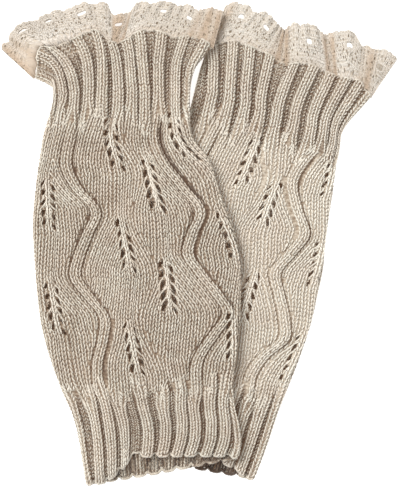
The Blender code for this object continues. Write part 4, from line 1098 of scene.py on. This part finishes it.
def laceStrip(cuff, front, random):
    shaped, openCells, slitCells = laceGrid(cuff)
    middle, fold = laceSurface(cuff, front, shaped[..., 0] / lace["repeats"], shaped[..., 1])
    normal = np.cross(np.gradient(middle, axis=1), np.gradient(middle, axis=0))
    normal /= np.linalg.norm(normal, axis=-1, keepdims=True)
    normal *= np.sign(normal[..., 2:])
    rows, columns = openCells.shape
    index = np.arange((rows + 1) * (columns + 1)).reshape(rows + 1, columns + 1)
    cells = np.stack([index[:-1, :-1], index[:-1, 1:], index[1:, 1:], index[1:, :-1]], axis=-1)[~openCells]
    below = index.size
    # a slit's corners sink into the wall, so it reads as a small dark gap between threads
    sunk = np.zeros(index.shape)
    for dy in (0, 1):
        for dx in (0, 1):
            sunk[dy:dy + rows, dx:dx + columns] += slitCells * 0.5
    sunk = np.minimum(sunk, 1.0)
    middle = middle - normal * (sunk * lace["slitDeep"] * lace["wall"] * 0.5)[..., None]
    edges = dict.fromkeys((a, b) for cell in cells for a, b in zip(cell, np.roll(cell, -1)))
    walls = [(b, a, a + below, b + below) for a, b in edges if (b, a) not in edges]
    quads = np.concatenate([cells, cells[:, ::-1] + below, np.array(walls)])
    points = np.concatenate([(middle + normal * lace["wall"] / 2).reshape(-1, 3),
                             (middle - normal * lace["wall"] / 2).reshape(-1, 3)])
    used = np.unique(quads)
    renumber = np.zeros(len(points), int)
    renumber[used] = np.arange(len(used))
    name = f"{cuff.side}_lace_{'front' if front else 'back'}"
    strip = meshPiece(name + "_ground", points[used], renumber[quads], [], cottonGround)
    flat = (shaped * (0.145 / lace["repeats"], 0.016)).reshape(-1, 2)
    addMap(strip, "cloth", np.tile(flat, (2, 1))[used])
    # Painted shade in the lace's folds and by its sewn edge.
    addShare(strip, "fold", np.tile(fold.ravel(), 2)[used])
    # Painted shade: slit faces are coloured dark brown.
    layer = strip.data.attributes.new("slit", "FLOAT", "FACE")
    slitShadeFaces = slitCells[~openCells].astype(np.float32)
    layer.data.foreach_set("value", np.concatenate([slitShadeFaces, slitShadeFaces, np.zeros(len(walls), np.float32)]))
    # threads over the ground, and a cord round each large hole and along the scallops
    steps = np.linspace(-0.5, 0.5, 5)
    wide = len(laceChart[0])
    places = []
    solid = ~(openCells | (slitCells > 0))
    for row in range(rows):
        for column in np.flatnonzero(solid[row]):
            if (column + row) % ((1 if row < 4 else 2) if front else 6):
                continue
            bend = 0.5 * np.sin(2 * pi * (column % wide + 0.5) / wide) + random.normal(0, 0.12)
            places.append((column + 0.5 - bend * steps * 2,
                           row + 0.5 + random.uniform(-0.35, 0.35) + steps * (1.0 if row < 14 else 0.8)))
    threadU, threadV = (np.array([place[i] for place in places]) for i in (0, 1))
    points, threadFoldShade = laceSurface(cuff, front, threadU / columns, np.clip(threadV / rows, 0.0, 1.0))
    points[..., 2] += lace["wall"] / 2 + 0.02 - 0.12 * (2 * steps) ** 2
    up = np.zeros_like(points)
    up[..., 2] = 1
    posts = strands(name + "_threads", points, up, lace["thread"], lace["threadHigh"],
                    random.normal(lace["threadTint"], 1.2, len(points)), cottonThread)
    # The threads take the same painted fold shade.
    addShare(posts, "fold", np.repeat(threadFoldShade[:, 2], strandPoints(4)))
    pieces = lace["cordPieces"]
    arcs = np.linspace(0, 2 * pi, pieces + 1)[:-1, None] + steps[None, :] * (2 * pi / pieces) * 1.35
    cordU = [(repeat * wide + 12 + lace["holeWide"] * np.cos(arcs)) / columns
             for repeat, hole in enumerate(cuff.holes) if hole[2] >= 0]
    cordV = [(lace["holeRow"] + lace["holeHigh"] * np.sin(arcs)) / rows] * len(cordU)
    line = np.arange(0, columns, columns / lace["picots"] / 4)[:, None] + steps[None, :] * 1.9
    cordU.append(np.clip(line, 0, columns) / columns)
    cordV.append(np.full(line.shape, 0.995))
    points, cordFoldShade = laceSurface(cuff, front, np.concatenate(cordU), np.concatenate(cordV))
    points[..., 2] += 0.1
    up = np.zeros_like(points)
    up[..., 2] = 1
    rims = strands(name + "_cords", points, up, lace["cord"], lace["cord"],
                   random.normal(0.2, 1.0, len(points)), cottonThread)
    # The cords take the same painted fold shade.
    addShare(rims, "fold", np.repeat(cordFoldShade[:, 2], strandPoints(4)))
    return strip, [posts, rims]


random = np.random.default_rng(7)
for cuff in (leftCuff, rightCuff):
    print("knitting the", cuff.side, "cuff")
    pieces, holes = knitFace(cuff, random)
    ground = knitGround(cuff, holes)
    pieces += [knitBack(cuff, random), hemInside(cuff, random)]
    pieces += edgeLoops(cuff, "hem_edge", 1, random) + edgeLoops(cuff, "rim_edge", 0, random)
    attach(ground, "root")
    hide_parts(f"{cuff.side}_knit_tube")
    for piece in pieces:
        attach(piece, "root")
    for front in (True, False):
        strip, threads = laceStrip(cuff, front, random)
        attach(strip, "root")
        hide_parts(f"{cuff.side}_lace_{'front' if front else 'back'}")
        for piece in threads:
            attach(piece, "root")

# Floor, light and camera.
setting = {
    "floorSize": 3.0, "floorColour": (0.92, 0.92, 0.92), "floorGlow": 0.75, "world": 0.55,
    "keyPower": 20.0, "keySize": 0.8, "keyPlace": (-0.55, 0.5, 1.2),
    "fillPower": 3.0, "fillSize": 1.5, "fillPlace": (0.9, -0.5, 1.3),
    "lens": 100.0, "frameHeight": 488 * 0.0006, "focusHeight": 0.008,
}
floorBoard = Board("paleFloor")
place = floorBoard.add("ShaderNodeTexCoord", {}, {}, 3)
floorTone = floorBoard.mix(floorBoard.noise(place, 40.0) * 0.1, setting["floorColour"], (0.88, 0.88, 0.88))
floorBoard.finish(Base_Color=floorTone, Roughness=0.9, Emission_Color=(1, 1, 1),
                  Emission_Strength=setting["floorGlow"])
half = setting["floorSize"] / 2 / mm
corners = ((-half, -half), (half, -half), (half, half), (-half, half))
floorCorners = np.array([(x, y, -0.2) for x, y in corners])
floor = meshPiece("floor", floorCorners, [(0, 1, 2, 3)], [], floorBoard.material, smooth=False)


def softLight(name, place, size, power):
    data = bpy.data.lights.new(name, "AREA")
    data.shape, data.size, data.energy = "DISK", size, power
    lamp = bpy.data.objects.new(name, data)
    lamp.location = place
    lamp.rotation_euler = (Vector(place)).to_track_quat("Z", "Y").to_euler()
    bpy.context.scene.collection.objects.link(lamp)


softLight("keyLight", setting["keyPlace"], setting["keySize"], setting["keyPower"])
softLight("fillLight", setting["fillPlace"], setting["fillSize"], setting["fillPower"])
world = bpy.data.worlds.new("studio")
world.use_nodes = True
world.node_tree.nodes["Background"].inputs["Color"].default_value = (1, 1, 1, 1)
world.node_tree.nodes["Background"].inputs["Strength"].default_value = setting["world"]
bpy.context.scene.world = world
bpy.context.scene.view_settings.view_transform = "Standard"

cameraData = bpy.data.cameras.new("camera")
cameraData.lens, cameraData.sensor_width = setting["lens"], 36.0
camera = bpy.data.objects.new("camera", cameraData)
height = setting["frameHeight"] * setting["lens"] / cameraData.sensor_width + setting["focusHeight"]
camera.location = (-layout["centreX"] * mm, -layout["centreY"] * mm, height)
bpy.context.scene.collection.objects.link(camera)
bpy.context.scene.camera = camera
print("camera", round(height, 3), "m up")

for piece in bpy.data.objects:
    if piece.type == "MESH" and "_" in piece.name and not piece.hide_render:
        print(piece.name, sum(len(face.vertices) - 2 for face in piece.data.polygons))
